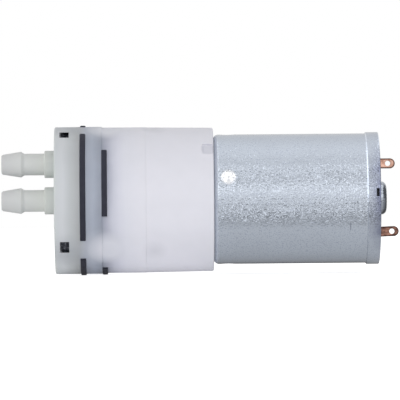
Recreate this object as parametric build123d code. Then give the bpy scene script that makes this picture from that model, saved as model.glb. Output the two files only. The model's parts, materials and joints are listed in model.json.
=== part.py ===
from build123d import *
import os
from math import cos, radians, sin, tan

os.makedirs("parts", exist_ok=True)

# The pump lies along X, its hose barbs towards -X. Sizes are millimetres and degrees.
# A station is a distance behind the front face of the head. An angle turns about the
# pump's axis, from +Y towards +Z.

# Head: five stacked layers, rubber between plastic, and a deep bracket behind them
head_radius = 13.85
cover_depth = 4.8
cover_wall = 1.6
gasket_depth = 1.05
gasket_proud = 0.25
valve_plate_depth = 3.0
diaphragm_depth = 1.02
diaphragm_proud = 0.15
diaphragm_clearance = 0.1
cylinder_depth = 7.23
cylinder_inset = 0.15
bracket_depth = 12.7
bracket_inset = 0.03
bracket_draft = 0.17
edge_round = 0.3
joint_round = 0.08

# Three screws, and three chambers between them
screw_angles = (104, 224, 344)
chamber_angles = (44, 164, 284)
screw_edge = 2.75
screw_radius = 1.0
screw_clearance = 0.1
screw_grip = 2.7
screw_head_radius = 2.1
screw_head_station = 1.0
washer_depth = 0.4
washer_seat_station = 2.75
pocket_clearance = 0.1
window_starts = (1.0, 0.0, 0.0)
window_end = 2.0
window_sides = (-1, -1, 1)
screw_pad_angles = ((94.6, 117.5), (212.4, 231.5), (334.5, 353.5))
screw_column_radius = 2.0
pilot_depth = 1.0

# Hose barbs
barb_length = 10.1
barb_bore = 1.25
barb_tip_radius = 1.62
barb_shoulder_radius = 1.88
barb_ridge_radius = 2.43
barb_ridge_at = 6.4
barb_shank_radius = 2.05
barb_shank_end = 5.8
barb_collar_radius = 2.57
barb_collar_length = 2.0
barb_chamfer = 0.25
side_barb_angle = 80

# Chambers, rubber cups and the knobs that hold them to the wobble plate
cylinder_wall = 1.75
chamber_web = 2.97
cup_bore_clearance = 0.35
cup_taper = 0.9
cup_wall = 0.6
cup_floor_depth = 1.2
cup_seal = 0.65
diaphragm_tab_angles = ((15.8, 72.2), (137.8, 192.4), (246.6, 312.2))
stem_radius = 0.85
stem_clearance = 0.1
stem_tail = 0.9
knob_radius = 1.3
knob_depth = 1.2

# Rubber valves
umbrella_radius = 2.3
umbrella_depth = 0.55
umbrella_play = 0.4
umbrella_seat_depth = 0.8
valve_stem_radius = 0.75
valve_stem_clearance = 0.05
valve_knob_radius = 1.05
valve_knob_depth = 0.8
air_hole_radius = 0.45
air_hole_away = 1.35
air_holes = 4
outlet_hole_inset = 3.75
outlet_hole_spread = 20
outlet_valve_lap = 0.85
air_space_wall = 0.8
air_space_play = 0.6
suction_land = 0.65
bridge_half_angle = 9

# Wobble plate and its drive
tilt = 8
pivot_inset = 1.1
arm_depth = 1.6
arm_end_radius = 1.9
arm_rib_depth = 1.0
arm_space_inset = 4.2
arm_space_edge = 1.7
hub_radius = 2.2
hub_front_length = 2.0
hub_back_length = 3.4
hub_cap = 0.6
pin_radius = 0.8
pin_running_clearance = 0.03
eccentric_radius = 4.5
eccentric_play = 0.6
eccentric_to_boss = 1.8
balance_flat_at = 2.6
balance_flat_stop = 2.0
pin_to_shaft = 0.4

# Motor bracket
bracket_wall = 1.85
bracket_floor = 2.0
key_recess_angle = 135.4
key_recess_length = 1.7
key_recess_width = 2.0
key_recess_depth = 0.3
key_recess_from_back = 0.5

# Motor can
can_radius = 12.2
can_length = 31.1
can_wall = 0.9
can_corner = 1.2
band_step = 0.235
band_length = 2.6
boss_radius = 3.075
boss_length = 1.6
boss_lip = 0.4
boss_lip_clearance = 0.3
dimple_angles = (90, 136, 270, 316)
dimple_from_front = 2.7
dimple_ball = 1.9
dimple_depth = 0.28
crimp_angles = (175, 355)
crimp_width = 1.5
crimp_length = 0.7
crimp_from_back = 1.0
crimp_notch = 0.6
motor_screw_angles = (14, 194)
motor_screw_edge = 3.7
motor_screw_head_depth = 1.3
motor_screw_head_radius = 1.9
motor_screw_grip = 3.4

# Rotor
shaft_radius = 1.0
shaft_running_clearance = 0.02
shaft_end_play = 0.15
core_from_can_front = 5.5
core_poles = 3
pole_gap = 1.6
pole_tip_depth = 1.3
tooth_share = 0.377
core_yoke_share = 0.365
winding_overhang = 1.9
winding_side_share = 0.239
winding_clearance = 0.1
commutator_from_windings = 0.6
commutator_length = 3.7
commutator_radius = 2.4
commutator_bar_depth = 0.65
commutator_gap = 0.4
spacer_radius = 2.0
spacer_depth = 0.5
end_play = 0.1

# Stator, brushes and rear end
bearing_radius = 2.3
bearing_length = 2.4
air_gap = 0.35
magnet_share = 0.246
magnet_overhang = 2.3
magnet_half_angle = 58
magnet_angle = 113
magnet_spring_depth = 0.35
magnet_spring_ear_angle = 2
magnet_spring_ear_clearance = 0.6
end_plate_depth = 1.0
rear_boss_radius = 3.125
rear_boss_length = 1.55
rear_boss_round = 0.6
rear_boss_cap = 0.5
holder_depth = 2.2
holder_hole_radius = 3.6
holder_to_commutator = 0.2
tag_width = 1.9
tag_depth = 0.3
tag_height = 6.5
tag_root_length = 0.4
tag_hole_radius = 0.5
tag_collar_wall = 0.5
upper_tag_length = 3.2
upper_tag_hole_at = 1.85
lower_tag_length = 3.84
lower_tag_hole_at = 2.55
lower_tag_lean = 4.5
brush_width = 1.6
brush_length = 2.2
brush_height = 2.0
brush_gap = 0.05
brush_inset = 0.3
arm_strip = 0.25

# Radii and circles that follow from the head's size
gasket_radius = head_radius + gasket_proud
diaphragm_radius = head_radius + diaphragm_proud
cylinder_radius = head_radius - cylinder_inset
bracket_front_radius = cylinder_radius - bracket_inset
bracket_back_radius = bracket_front_radius - bracket_draft
screw_circle = head_radius - screw_edge
pocket_radius = screw_head_radius + pocket_clearance
screw_pad_inner = screw_circle - pocket_radius
# The three bores fill the room between the outer wall and the webs that part them
chamber_spread = sin(radians(60))
chamber_room = cylinder_radius - cylinder_wall
chamber_circle = (chamber_room + chamber_web / 2) / (1 + chamber_spread)
chamber_bore_radius = chamber_room - chamber_circle
cup_mouth_radius = chamber_bore_radius - cup_bore_clearance
cup_floor_radius = cup_mouth_radius - cup_taper
diaphragm_lobe_radius = chamber_bore_radius + cup_seal
diaphragm_hub_radius = screw_pad_inner - diaphragm_clearance
arm_space_radius = screw_circle - arm_space_edge
outlet_hole_circle = chamber_circle - outlet_hole_inset
outlet_valve_radius = outlet_hole_circle + outlet_valve_lap
delivery_radius = outlet_valve_radius + air_space_play
suction_inner = delivery_radius + air_space_wall
suction_outer = screw_pad_inner - suction_land
side_barb_away = (suction_inner + suction_outer) / 2
inlet_space_radius = air_hole_away + air_hole_radius
band_radius = can_radius + band_step
can_inside = can_radius - can_wall
band_inside = band_radius - can_wall
motor_screw_circle = can_radius - motor_screw_edge
# The magnets, the core and its coils keep their proportions to the can
magnet_inner_radius = can_inside - can_radius * magnet_share
core_radius = magnet_inner_radius - air_gap
core_yoke_radius = core_radius * core_yoke_share
tooth_width = core_radius * tooth_share
winding_side = core_radius * winding_side_share
commutator_core_radius = commutator_radius - commutator_bar_depth

# Stations of the joints between the pieces
gasket_station = cover_depth
valve_station = gasket_station + gasket_depth
diaphragm_station = valve_station + valve_plate_depth
cylinder_station = diaphragm_station + diaphragm_depth
bracket_station = cylinder_station + cylinder_depth
can_station = bracket_station + bracket_depth
can_end_station = can_station + can_length
band_station = can_end_station - band_length
end_plate_station = can_end_station - end_plate_depth
origin_station = (can_station + can_corner + band_station) / 2

# Stations of the drive
pivot_station = bracket_station - pivot_inset
arm_front = pivot_station - arm_depth / 2
arm_back = pivot_station + arm_depth / 2
hub_front = pivot_station - hub_front_length
hub_back = pivot_station + hub_back_length
pin_front = hub_front + hub_cap
boss_front = can_station - boss_length
eccentric_front = hub_back + eccentric_play
eccentric_back = boss_front - eccentric_to_boss
pin_back = (eccentric_front + eccentric_back) / 2
shaft_front = pin_back + pin_to_shaft

# Stations inside the motor
front_bearing_station = boss_front + boss_lip
boss_end_station = can_end_station + rear_boss_length
rear_bearing_end = boss_end_station - rear_boss_cap
shaft_back = rear_bearing_end - shaft_end_play
holder_station = end_plate_station - holder_depth
tag_root_station = holder_station - tag_root_length
commutator_back = holder_station - holder_to_commutator
commutator_front = commutator_back - commutator_length
core_front = can_station + can_wall + core_from_can_front
core_back = commutator_front - commutator_from_windings - winding_overhang
magnet_front = core_front - magnet_overhang
magnet_back = core_back + magnet_overhang

center_from_front = (Align.CENTER, Align.CENTER, Align.MIN)


def at(station):
    """X of a station; the origin is halfway along the can's plain round part."""
    return station - origin_station


def across(station, away=0, angle=0):
    """Plane across the pump, facing back, its own X pointing away from the axis."""
    out_y = cos(radians(angle))
    out_z = sin(radians(angle))
    return Plane(
        origin=(at(station), away * out_y, away * out_z),
        x_dir=(0, out_y, out_z),
        z_dir=(1, 0, 0),
    )


def rod(front, back, radius, away=0, angle=0):
    """Round bar between two stations."""
    return across(front, away, angle) * Cylinder(radius, back - front, align=center_from_front)


def tube(front, back, outer, inner, away=0, angle=0):
    """Round bar with a hole along it."""
    return rod(front, back, outer, away, angle) - rod(front, back, inner, away, angle)


def block(front, back, inside, outside, width, angle=0):
    """Square bar that reaches outwards from one distance off the axis to another."""
    return across(front, inside, angle) * Box(
        outside - inside, width, back - front, align=(Align.MIN, Align.CENTER, Align.MIN)
    )


def wedge(front, back, radius, half_angle, angle=0):
    """Slice of a round bar, half_angle to each side."""
    reach = 2 * radius
    side = reach * tan(radians(half_angle))
    slice_face = make_face(Polyline((0, 0), (reach, -side), (reach, side), close=True))
    return extrude(across(front, 0, angle) * slice_face, back - front) & rod(front, back, radius)


def arc_wedge(front, back, radius, limits):
    """Slice of a round bar from one angle to another."""
    first, last = limits
    return wedge(front, back, radius, (last - first) / 2, (first + last) / 2)


def turned(*outline):
    """Solid turned about the pump's axis from (station, radius) points."""
    points = [(at(station), radius) for station, radius in outline]
    return revolve(make_face(Polyline(*points, close=True)), Axis.X)


def rim(shape, station, radius):
    """The full round edges of a solid at one station, about the pump's axis."""
    return shape.edges().filter_by(GeomType.CIRCLE).filter_by(
        lambda edge: abs(edge.radius - radius) < 0.01 and abs(edge.arc_center.X - at(station)) < 0.01
    )


def rounded_rod(front, back, radius, front_round, back_round):
    """Round bar with both outer edges rounded."""
    shape = rod(front, back, radius)
    shape = fillet(rim(shape, front, radius), front_round)
    return fillet(rim(shape, back, radius), back_round)


def joined(shapes):
    """One solid made of several that meet."""
    first, *others = shapes
    for shape in others:
        first = first + shape
    return first


# At rest the drive pin leans towards the first chamber, about a hinge through the pivot
lean_angle = chamber_angles[0]
lean_hinge = Axis(
    (at(pivot_station), 0, 0),
    (0, -sin(radians(lean_angle)), cos(radians(lean_angle))),
)


def leaned(shape):
    """The shape turned with the wobble plate, as the drive pin holds it at rest."""
    return shape.rotate(lean_hinge, tilt)


def hose_barb(away, angle):
    """Outside of one barb, moulded on the cover."""
    profile = [
        (cover_wall / 2, 0),
        (cover_wall / 2, barb_collar_radius),
        (barb_chamfer - barb_collar_length, barb_collar_radius),
        (-barb_collar_length, barb_collar_radius - barb_chamfer),
        (-barb_collar_length, barb_shank_radius),
        (-barb_shank_end, barb_shank_radius),
        (-barb_ridge_at, barb_ridge_radius),
        (barb_chamfer - barb_length, barb_shoulder_radius),
        (-barb_length, barb_tip_radius),
        (-barb_length, 0),
    ]
    return Pos(across(0, away, angle).origin - across(0).origin) * turned(*profile)


def screw_window(angle, start, side):
    """Opening in the cover's rim, level with the outer part of one screw head."""
    screw_y = screw_circle * cos(radians(angle))
    screw_z = screw_circle * sin(radians(angle))
    outwards = 1 if screw_z > 0 else -1
    depth = washer_seat_station - screw_head_station
    return Pos(
        at(screw_head_station), screw_y + side * head_radius / 2,
        screw_z + outwards * (start + window_end) / 2,
    ) * Box(
        depth, head_radius, window_end - start, align=(Align.MIN, Align.CENTER, Align.CENTER)
    )


def front_cover():
    """Disc with two hose barbs, a delivery space in the middle and a suction ring around it."""
    shape = rounded_rod(0, cover_depth, head_radius, edge_round, joint_round)
    shape = joined([shape, hose_barb(0, 0), hose_barb(side_barb_away, side_barb_angle)])
    shape -= rod(cover_wall, cover_depth, delivery_radius)
    shape -= tube(cover_wall, cover_depth, suction_outer, suction_inner)
    shape -= rod(-barb_length, cover_depth, barb_bore)
    shape -= rod(-barb_length, cover_depth, barb_bore, side_barb_away, side_barb_angle)
    for angle in chamber_angles:
        shape -= rod(cover_wall, cover_depth, inlet_space_radius, chamber_circle, angle)
    for angle in screw_angles:
        shape -= rod(0, washer_seat_station, pocket_radius, screw_circle, angle)
        shape -= rod(0, cover_depth, screw_radius + screw_clearance, screw_circle, angle)
    for angle, start, side in zip(screw_angles, window_starts, window_sides):
        shape -= screw_window(angle, start, side)
    return shape


def cover_gasket():
    """Rubber ring sheet; its rim shows except where the plastic meets at the screws."""
    front = gasket_station
    back = valve_station
    shape = tube(front, back, gasket_radius, delivery_radius)
    ring = tube(front, back, suction_outer, suction_inner)
    for angle in screw_angles:
        ring -= wedge(front, back, gasket_radius, bridge_half_angle, angle)
    shape -= ring
    for angle in chamber_angles:
        shape -= rod(front, back, inlet_space_radius, chamber_circle, angle)
    for limits in screw_pad_angles:
        pad = arc_wedge(front, back, gasket_radius, limits)
        shape -= pad - rod(front, back, screw_pad_inner)
    return shape


def valve_plate():
    """Plastic plate with suction and delivery holes, and three pads that meet the cover."""
    back = diaphragm_station
    pad_end = valve_station + joint_round
    shape = rounded_rod(valve_station, back, head_radius, joint_round, joint_round)
    for limits in screw_pad_angles:
        pad = arc_wedge(gasket_station, pad_end, head_radius, limits)
        shape += pad - rod(gasket_station, pad_end, screw_pad_inner)
    for angle in screw_angles:
        shape -= rod(gasket_station, back, screw_radius + screw_clearance, screw_circle, angle)
    stem_hole = valve_stem_radius + valve_stem_clearance
    seat_radius = umbrella_radius + umbrella_play
    shape -= rod(valve_station, back, stem_hole)
    for angle in chamber_angles:
        shape -= rod(back - umbrella_seat_depth, back, seat_radius, chamber_circle, angle)
        shape -= rod(valve_station, back, stem_hole, chamber_circle, angle)
        holes = PolarLocations(air_hole_away, air_holes)
        drill = Cylinder(air_hole_radius, valve_plate_depth, align=center_from_front)
        for hole in holes:
            shape -= across(valve_station, chamber_circle, angle) * hole * drill
        for side in (-outlet_hole_spread, outlet_hole_spread):
            shape -= rod(valve_station, back, air_hole_radius, outlet_hole_circle, angle + side)
    return shape


def inlet_valves():
    """Three rubber umbrella valves that open into the chambers."""
    cap_front = diaphragm_station - umbrella_seat_depth
    valves = []
    for angle in chamber_angles:
        cap = rod(cap_front, cap_front + umbrella_depth, umbrella_radius, chamber_circle, angle)
        stem = rod(valve_station, cap_front, valve_stem_radius, chamber_circle, angle)
        knob = rod(valve_station - valve_knob_depth, valve_station, valve_knob_radius, chamber_circle, angle)
        valves.append(joined([cap, stem, knob]))
    return Compound(children=valves)


def outlet_valve():
    """One rubber disc over all the delivery holes, held by its own stem."""
    flap_front = valve_station - umbrella_depth
    flap = rod(flap_front, valve_station, outlet_valve_radius)
    stem = rod(valve_station, diaphragm_station, valve_stem_radius)
    knob = rod(diaphragm_station, diaphragm_station + valve_knob_depth, valve_knob_radius)
    return joined([flap, stem, knob])


def diaphragm_outline(front, back, radius, lobe_radius, hub):
    """Three-lobed sheet that seals the chambers and leaves the screws free."""
    shapes = [rod(front, back, hub)]
    for angle, limits in zip(chamber_angles, diaphragm_tab_angles):
        shapes.append(rod(front, back, lobe_radius, chamber_circle, angle))
        shapes.append(arc_wedge(front, back, radius, limits))
    return joined(shapes)


def diaphragm():
    """Rubber sheet with three cups, drawn as far as the leaned wobble plate holds them."""
    front = diaphragm_station
    back = cylinder_station
    floor_front = arm_front - cup_floor_depth
    knob_front = arm_back + stem_clearance
    tail_front = knob_front + knob_depth
    shape = diaphragm_outline(
        front, back, diaphragm_radius, diaphragm_lobe_radius, diaphragm_hub_radius
    )
    knob_space = valve_knob_radius + valve_stem_clearance
    shape -= rod(front, back, knob_space)
    for angle in chamber_angles:
        shape -= rod(front, back, cup_mouth_radius - cup_wall, chamber_circle, angle)
    for angle in chamber_angles:
        mouth = across(front + diaphragm_depth / 2, chamber_circle, angle)
        outside = loft([
            mouth * Circle(cup_mouth_radius),
            leaned(across(arm_front, chamber_circle, angle) * Circle(cup_floor_radius)),
        ], ruled=True)
        inside = loft([
            mouth * Circle(cup_mouth_radius - cup_wall),
            leaned(across(floor_front, chamber_circle, angle) * Circle(cup_floor_radius - cup_wall)),
        ], ruled=True)
        stem = rod(arm_front, knob_front, stem_radius, chamber_circle, angle)
        knob = rod(knob_front, knob_front + knob_depth, knob_radius, chamber_circle, angle)
        tail = rod(tail_front, tail_front + stem_tail, stem_radius, chamber_circle, angle)
        shape = joined([shape, outside - inside, leaned(joined([stem, knob, tail]))])
    return shape


def cylinder_body():
    """Plastic ring with three bores for the cups, a seat for the rubber and room for the arms."""
    front = diaphragm_station
    back = bracket_station
    shape = rounded_rod(front, back, cylinder_radius, joint_round, joint_round)
    shape -= diaphragm_outline(
        front, cylinder_station, gasket_radius, diaphragm_lobe_radius, diaphragm_hub_radius
    )
    shape -= rod(front + arm_space_inset, back, arm_space_radius)
    for angle in chamber_angles:
        shape -= rod(front, back, chamber_bore_radius, chamber_circle, angle)
    for angle in screw_angles:
        shape -= rod(front, back, screw_radius + screw_clearance, screw_circle, angle)
    return shape


def wobble_plate():
    """Three-armed plastic plate on a hub that runs on the leaning drive pin."""
    shape = rod(hub_front, hub_back, hub_radius)
    for angle in chamber_angles:
        arm = block(arm_front, arm_back, 0, chamber_circle, 2 * arm_end_radius, angle)
        end = rod(arm_front, arm_back, arm_end_radius, chamber_circle, angle)
        rib_end = chamber_circle - knob_radius - 2 * stem_clearance
        rib = block(arm_back, arm_back + arm_rib_depth, 0, rib_end, arm_rib_depth, angle)
        shape = joined([shape, arm, end, rib])
    for angle in chamber_angles:
        shape -= rod(arm_front, arm_back, stem_radius + stem_clearance, chamber_circle, angle)
    shape -= rod(pin_front, hub_back, pin_radius + pin_running_clearance)
    return leaned(shape)


def drive_pin():
    """Hardened pin that leans out of the eccentric and crosses the motor's axis at the pivot."""
    return leaned(rod(pin_front + pin_running_clearance, pin_back, pin_radius))


def eccentric():
    """Hub pressed on the motor shaft, with the leaning pin's hole and a balancing flat."""
    front = eccentric_front
    back = eccentric_back
    shape = rod(front, back, eccentric_radius)
    shape -= leaned(rod(pin_front, pin_back, pin_radius))
    shape -= rod(shaft_front, back, shaft_radius)
    flat_end = back - balance_flat_stop
    shape -= block(front, flat_end, balance_flat_at, eccentric_radius, 2 * eccentric_radius, lean_angle)
    return shape


def motor_bracket():
    """Deep plastic cup between the head and the motor, with three screw columns inside."""
    front = bracket_station
    back = can_station
    shape = turned((front, 0), (front, bracket_front_radius), (back, bracket_back_radius), (back, 0))
    shape = fillet(rim(shape, front, bracket_front_radius), joint_round)
    shape = fillet(rim(shape, back, bracket_back_radius), edge_round)
    room = rod(front, back - bracket_floor, bracket_front_radius - bracket_wall)
    for angle in screw_angles:
        room -= rod(front, back, screw_column_radius, screw_circle, angle)
        room -= block(front, back, screw_circle, head_radius, 2 * screw_column_radius, angle)
    shape -= room
    shape -= rod(front, back, boss_radius)
    for angle in screw_angles:
        shape -= rod(front, front + screw_grip + pilot_depth, screw_radius, screw_circle, angle)
    driver_radius = motor_screw_head_radius + pocket_clearance
    for angle in motor_screw_angles:
        shape -= rod(front, back, screw_radius + screw_clearance, motor_screw_circle, angle)
        shape -= rod(front, back - bracket_floor, driver_radius, motor_screw_circle, angle)
    recess_back = back - key_recess_from_back
    shape -= block(
        recess_back - key_recess_length, recess_back,
        bracket_back_radius - key_recess_depth, head_radius, key_recess_width, key_recess_angle,
    )
    return shape


def pan_screw(head_front, head_depth, head_radius, tip, away, angle):
    """Pan head screw with a cross recess, pointing backwards."""
    head = rod(head_front, head_front + head_depth, head_radius, away, angle)
    head = fillet(head.edges().filter_by(GeomType.CIRCLE).sort_by(Axis.X)[:1], head_depth / 3)
    for turn in (0, 90):
        slot = across(head_front, away, angle) * Rot(0, 0, turn)
        head -= slot * Box(head_radius * 1.1, head_radius / 4, head_depth, align=Align.CENTER)
    return head + rod(head_front + head_depth, tip, screw_radius, away, angle)


def assembly_screws():
    """Three long black screws that clamp the whole head to the bracket."""
    head_depth = washer_seat_station - washer_depth - screw_head_station
    tip = bracket_station + screw_grip
    return Compound(children=[
        pan_screw(screw_head_station, head_depth, screw_head_radius, tip, screw_circle, angle)
        for angle in screw_angles
    ])


def screw_washers():
    """Plain washers under the screw heads."""
    front = washer_seat_station - washer_depth
    return Compound(children=[
        tube(front, washer_seat_station, screw_head_radius, screw_radius, screw_circle, angle)
        for angle in screw_angles
    ])


def motor_screws():
    """Two short screws that hold the motor to the bracket's floor."""
    head_front = can_station - bracket_floor - motor_screw_head_depth
    tip = head_front + motor_screw_head_depth + motor_screw_grip
    return Compound(children=[
        pan_screw(
            head_front, motor_screw_head_depth, motor_screw_head_radius, tip, motor_screw_circle, angle
        )
        for angle in motor_screw_angles
    ])


def crimp_space(inside, outside, angle):
    """Small square hole near the can's rear edge, over a notch in the end plate."""
    front = can_end_station - crimp_from_back
    return block(front, front + crimp_length, inside, outside, crimp_width, angle)


def motor_can():
    """Drawn steel can with a bearing boss, four dimples and a widened, crimped rear band."""
    front = can_station
    back = can_end_station
    shape = turned(
        (front, 0), (front, can_radius), (band_station, can_radius),
        (band_station + band_step, band_radius), (back, band_radius), (back, 0),
    )
    shape = fillet(rim(shape, front, can_radius), can_corner)
    shape += rod(boss_front, front, boss_radius)
    shape -= rod(front + can_wall, back, can_inside)
    shape -= rod(end_plate_station, back, band_inside)
    shape -= rod(front_bearing_station, front + can_wall, bearing_radius)
    shape -= rod(boss_front, front, shaft_radius + boss_lip_clearance)
    for angle in motor_screw_angles:
        shape -= rod(front, front + can_wall, screw_radius, motor_screw_circle, angle)
    for angle in dimple_angles:
        dent = across(front + dimple_from_front, can_radius + dimple_ball - dimple_depth, angle)
        shape -= dent * Sphere(dimple_ball)
    for angle in crimp_angles:
        shape -= crimp_space(band_inside, band_radius + 1, angle)
    return shape


def front_bearing():
    """Sintered bronze bush in the can's boss."""
    back = front_bearing_station + bearing_length
    return tube(front_bearing_station, back, bearing_radius, shaft_radius + shaft_running_clearance)


def rear_bearing():
    """Sintered bronze bush in the end plate's boss."""
    front = rear_bearing_end - bearing_length
    return tube(front, rear_bearing_end, bearing_radius, shaft_radius + shaft_running_clearance)


def shaft():
    """Ground steel motor shaft."""
    return rod(shaft_front, shaft_back, shaft_radius)


def spacers():
    """Washers that set the shaft's end play against the bearings."""
    front = front_bearing_station + bearing_length + end_play
    back = rear_bearing_end - bearing_length - end_play
    return Compound(children=[
        tube(front, front + spacer_depth, spacer_radius, shaft_radius),
        tube(back - spacer_depth, back, spacer_radius, shaft_radius),
    ])


def rotor_core():
    """Stack of steel sheets with three T-shaped poles."""
    front = core_front
    back = core_back
    shape = rod(front, back, core_yoke_radius)
    shoes = tube(front, back, core_radius, core_radius - pole_tip_depth)
    for pole in range(core_poles):
        angle = pole * 360 / core_poles
        shape += block(front, back, 0, core_radius - pole_tip_depth / 2, tooth_width, angle)
        shoes -= block(front, back, 0, core_radius + 1, pole_gap, angle + 180 / core_poles)
    return shape + shoes - rod(front, back, shaft_radius)


def windings():
    """Three copper coils, one around each pole."""
    front = core_front
    back = core_back
    inner = core_yoke_radius + winding_clearance
    outer = core_radius - pole_tip_depth - winding_clearance
    coils = []
    for pole in range(core_poles):
        angle = pole * 360 / core_poles
        coil = block(
            front - winding_overhang, back + winding_overhang, inner, outer,
            tooth_width + 2 * winding_side, angle,
        )
        coil &= rod(front - winding_overhang, back + winding_overhang, outer)
        coils.append(coil - block(front, back, 0, core_radius, tooth_width, angle))
    return Compound(children=coils)


def commutator_core():
    """Plastic sleeve that carries the commutator's bars."""
    return tube(commutator_front, commutator_back, commutator_core_radius, shaft_radius)


def commutator_bars():
    """Three copper bars around the sleeve."""
    front = commutator_front
    back = commutator_back
    ring = tube(front, back, commutator_radius, commutator_core_radius)
    for pole in range(core_poles):
        angle = (pole + 0.5) * 360 / core_poles
        ring -= block(front, back, 0, commutator_radius + 1, commutator_gap, angle)
    return ring


def magnet_gap(front, back, angle):
    """Space between the two magnets on one side."""
    return wedge(front, back, can_radius, 90 - magnet_half_angle, angle)


def magnets():
    """Two curved magnets against the inside of the can."""
    front = magnet_front
    back = magnet_back
    arcs = []
    for angle in (magnet_angle, magnet_angle + 180):
        arc = tube(front, back, can_inside, magnet_inner_radius)
        for side in (90, 270):
            arc -= magnet_gap(front, back, angle + side)
        arcs.append(arc & block(front, back, 0, can_radius, 2 * can_radius, angle))
    return Compound(children=arcs)


def magnet_spring():
    """Bent spring strip that spreads the magnets apart on one side."""
    front = magnet_front
    back = magnet_back
    angle = magnet_angle + 90
    ear_half_angle = 90 - magnet_half_angle - magnet_spring_ear_angle
    ear_inner = magnet_inner_radius + magnet_spring_ear_clearance
    room = magnet_gap(front, back, angle)
    strip = room & tube(front, back, can_inside, can_inside - magnet_spring_depth)
    ears = room & tube(front, back, can_inside, ear_inner)
    return strip + (ears - wedge(front, back, can_radius, ear_half_angle, angle))


def tag_collar(front, back, side):
    """Insulating block around one solder tag."""
    depth = tag_depth + 2 * tag_collar_wall
    height = tag_width + 2 * tag_collar_wall
    return Pos(at(front), 0, side * tag_height) * Box(
        back - front, depth, height, align=(Align.MIN, Align.CENTER, Align.CENTER)
    )


def tag_slot(front, back, side):
    """Room for one solder tag."""
    return Pos(at(front), 0, side * tag_height) * Box(
        back - front, tag_depth, tag_width, align=(Align.MIN, Align.CENTER, Align.CENTER)
    )


def end_plate():
    """Steel rear plate with the closed bearing boss and two windows for the tags."""
    front = end_plate_station
    back = can_end_station
    shape = rod(front, back, band_inside)
    shape += rod(back, boss_end_station, rear_boss_radius)
    shape = fillet(rim(shape, boss_end_station, rear_boss_radius), rear_boss_round)
    shape -= rod(front, rear_bearing_end, bearing_radius)
    for side in (-1, 1):
        shape -= tag_collar(front, back, side)
    for angle in crimp_angles:
        shape -= crimp_space(band_inside - crimp_notch, band_inside + 1, angle)
    return shape


def brush_holder():
    """Plastic plate inside the rear end that insulates the brushes and tags."""
    front = holder_station
    shape = rod(front, end_plate_station, can_inside)
    shape -= rod(front, end_plate_station, holder_hole_radius)
    for side in (-1, 1):
        shape += tag_collar(end_plate_station, can_end_station, side)
    for side in (-1, 1):
        shape -= tag_slot(front, can_end_station, side)
    return shape


def solder_tag(side, length, hole_at, lean):
    """Flat copper tag with a round end and a hole for the lead."""
    reach = can_end_station + length - tag_width / 2
    inner = tag_slot(tag_root_station, can_end_station, side)
    tongue = tag_slot(can_end_station, reach, side)
    end_plane = Plane(
        origin=(at(reach), -tag_depth / 2, side * tag_height), x_dir=(1, 0, 0), z_dir=(0, 1, 0)
    )
    end = end_plane * Cylinder(tag_width / 2, tag_depth, align=center_from_front)
    hole_place = Plane(
        origin=(at(can_end_station + hole_at), -tag_depth, side * tag_height),
        x_dir=(1, 0, 0), z_dir=(0, 1, 0),
    )
    hole = hole_place * Cylinder(tag_hole_radius, 2 * tag_depth, align=center_from_front)
    root_hinge = Axis((at(can_end_station), 0, side * tag_height), (0, -1, 0))
    outer = (tongue + end - hole).rotate(root_hinge, lean)
    return inner + outer


def upper_tag():
    """Solder tag above the rear boss."""
    return solder_tag(1, upper_tag_length, upper_tag_hole_at, 0)


def lower_tag():
    """Solder tag below the rear boss, bent a little upwards."""
    return solder_tag(-1, lower_tag_length, lower_tag_hole_at, lower_tag_lean)


def brush_arms():
    """Two copper strips that press the brushes on the commutator."""
    brush_top = commutator_radius + brush_gap + brush_height
    foot_front = tag_root_station - arm_strip
    foot_top = tag_height + tag_width / 2
    arms = []
    for angle in (90, 270):
        leg = block(commutator_front, foot_front, brush_top, brush_top + arm_strip, brush_width, angle)
        foot = block(foot_front, tag_root_station, brush_top, foot_top, brush_width, angle)
        arms.append(leg + foot)
    return Compound(children=arms)


def brushes():
    """Two carbon brushes on the commutator."""
    bottom = commutator_radius + brush_gap
    front = commutator_front + brush_inset
    return Compound(children=[
        block(front, front + brush_length, bottom, bottom + brush_height, brush_width, angle)
        for angle in (90, 270)
    ])


pieces = {
    "front_cover": front_cover,
    "cover_gasket": cover_gasket,
    "valve_plate": valve_plate,
    "inlet_valves": inlet_valves,
    "outlet_valve": outlet_valve,
    "diaphragm": diaphragm,
    "cylinder_body": cylinder_body,
    "wobble_plate": wobble_plate,
    "drive_pin": drive_pin,
    "eccentric": eccentric,
    "motor_bracket": motor_bracket,
    "assembly_screws": assembly_screws,
    "screw_washers": screw_washers,
    "motor_screws": motor_screws,
    "motor_can": motor_can,
    "front_bearing": front_bearing,
    "rear_bearing": rear_bearing,
    "shaft": shaft,
    "spacers": spacers,
    "rotor_core": rotor_core,
    "windings": windings,
    "commutator_core": commutator_core,
    "commutator_bars": commutator_bars,
    "magnets": magnets,
    "magnet_spring": magnet_spring,
    "end_plate": end_plate,
    "brush_holder": brush_holder,
    "upper_tag": upper_tag,
    "lower_tag": lower_tag,
    "brush_arms": brush_arms,
    "brushes": brushes,
}

for name, make in pieces.items():
    export_step(make(), f"parts/{name}.step")
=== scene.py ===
import json
from math import atan2, cos, hypot, pi, radians, sin, tau

import bmesh
import bpy
from mathutils import Matrix, Vector

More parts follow.
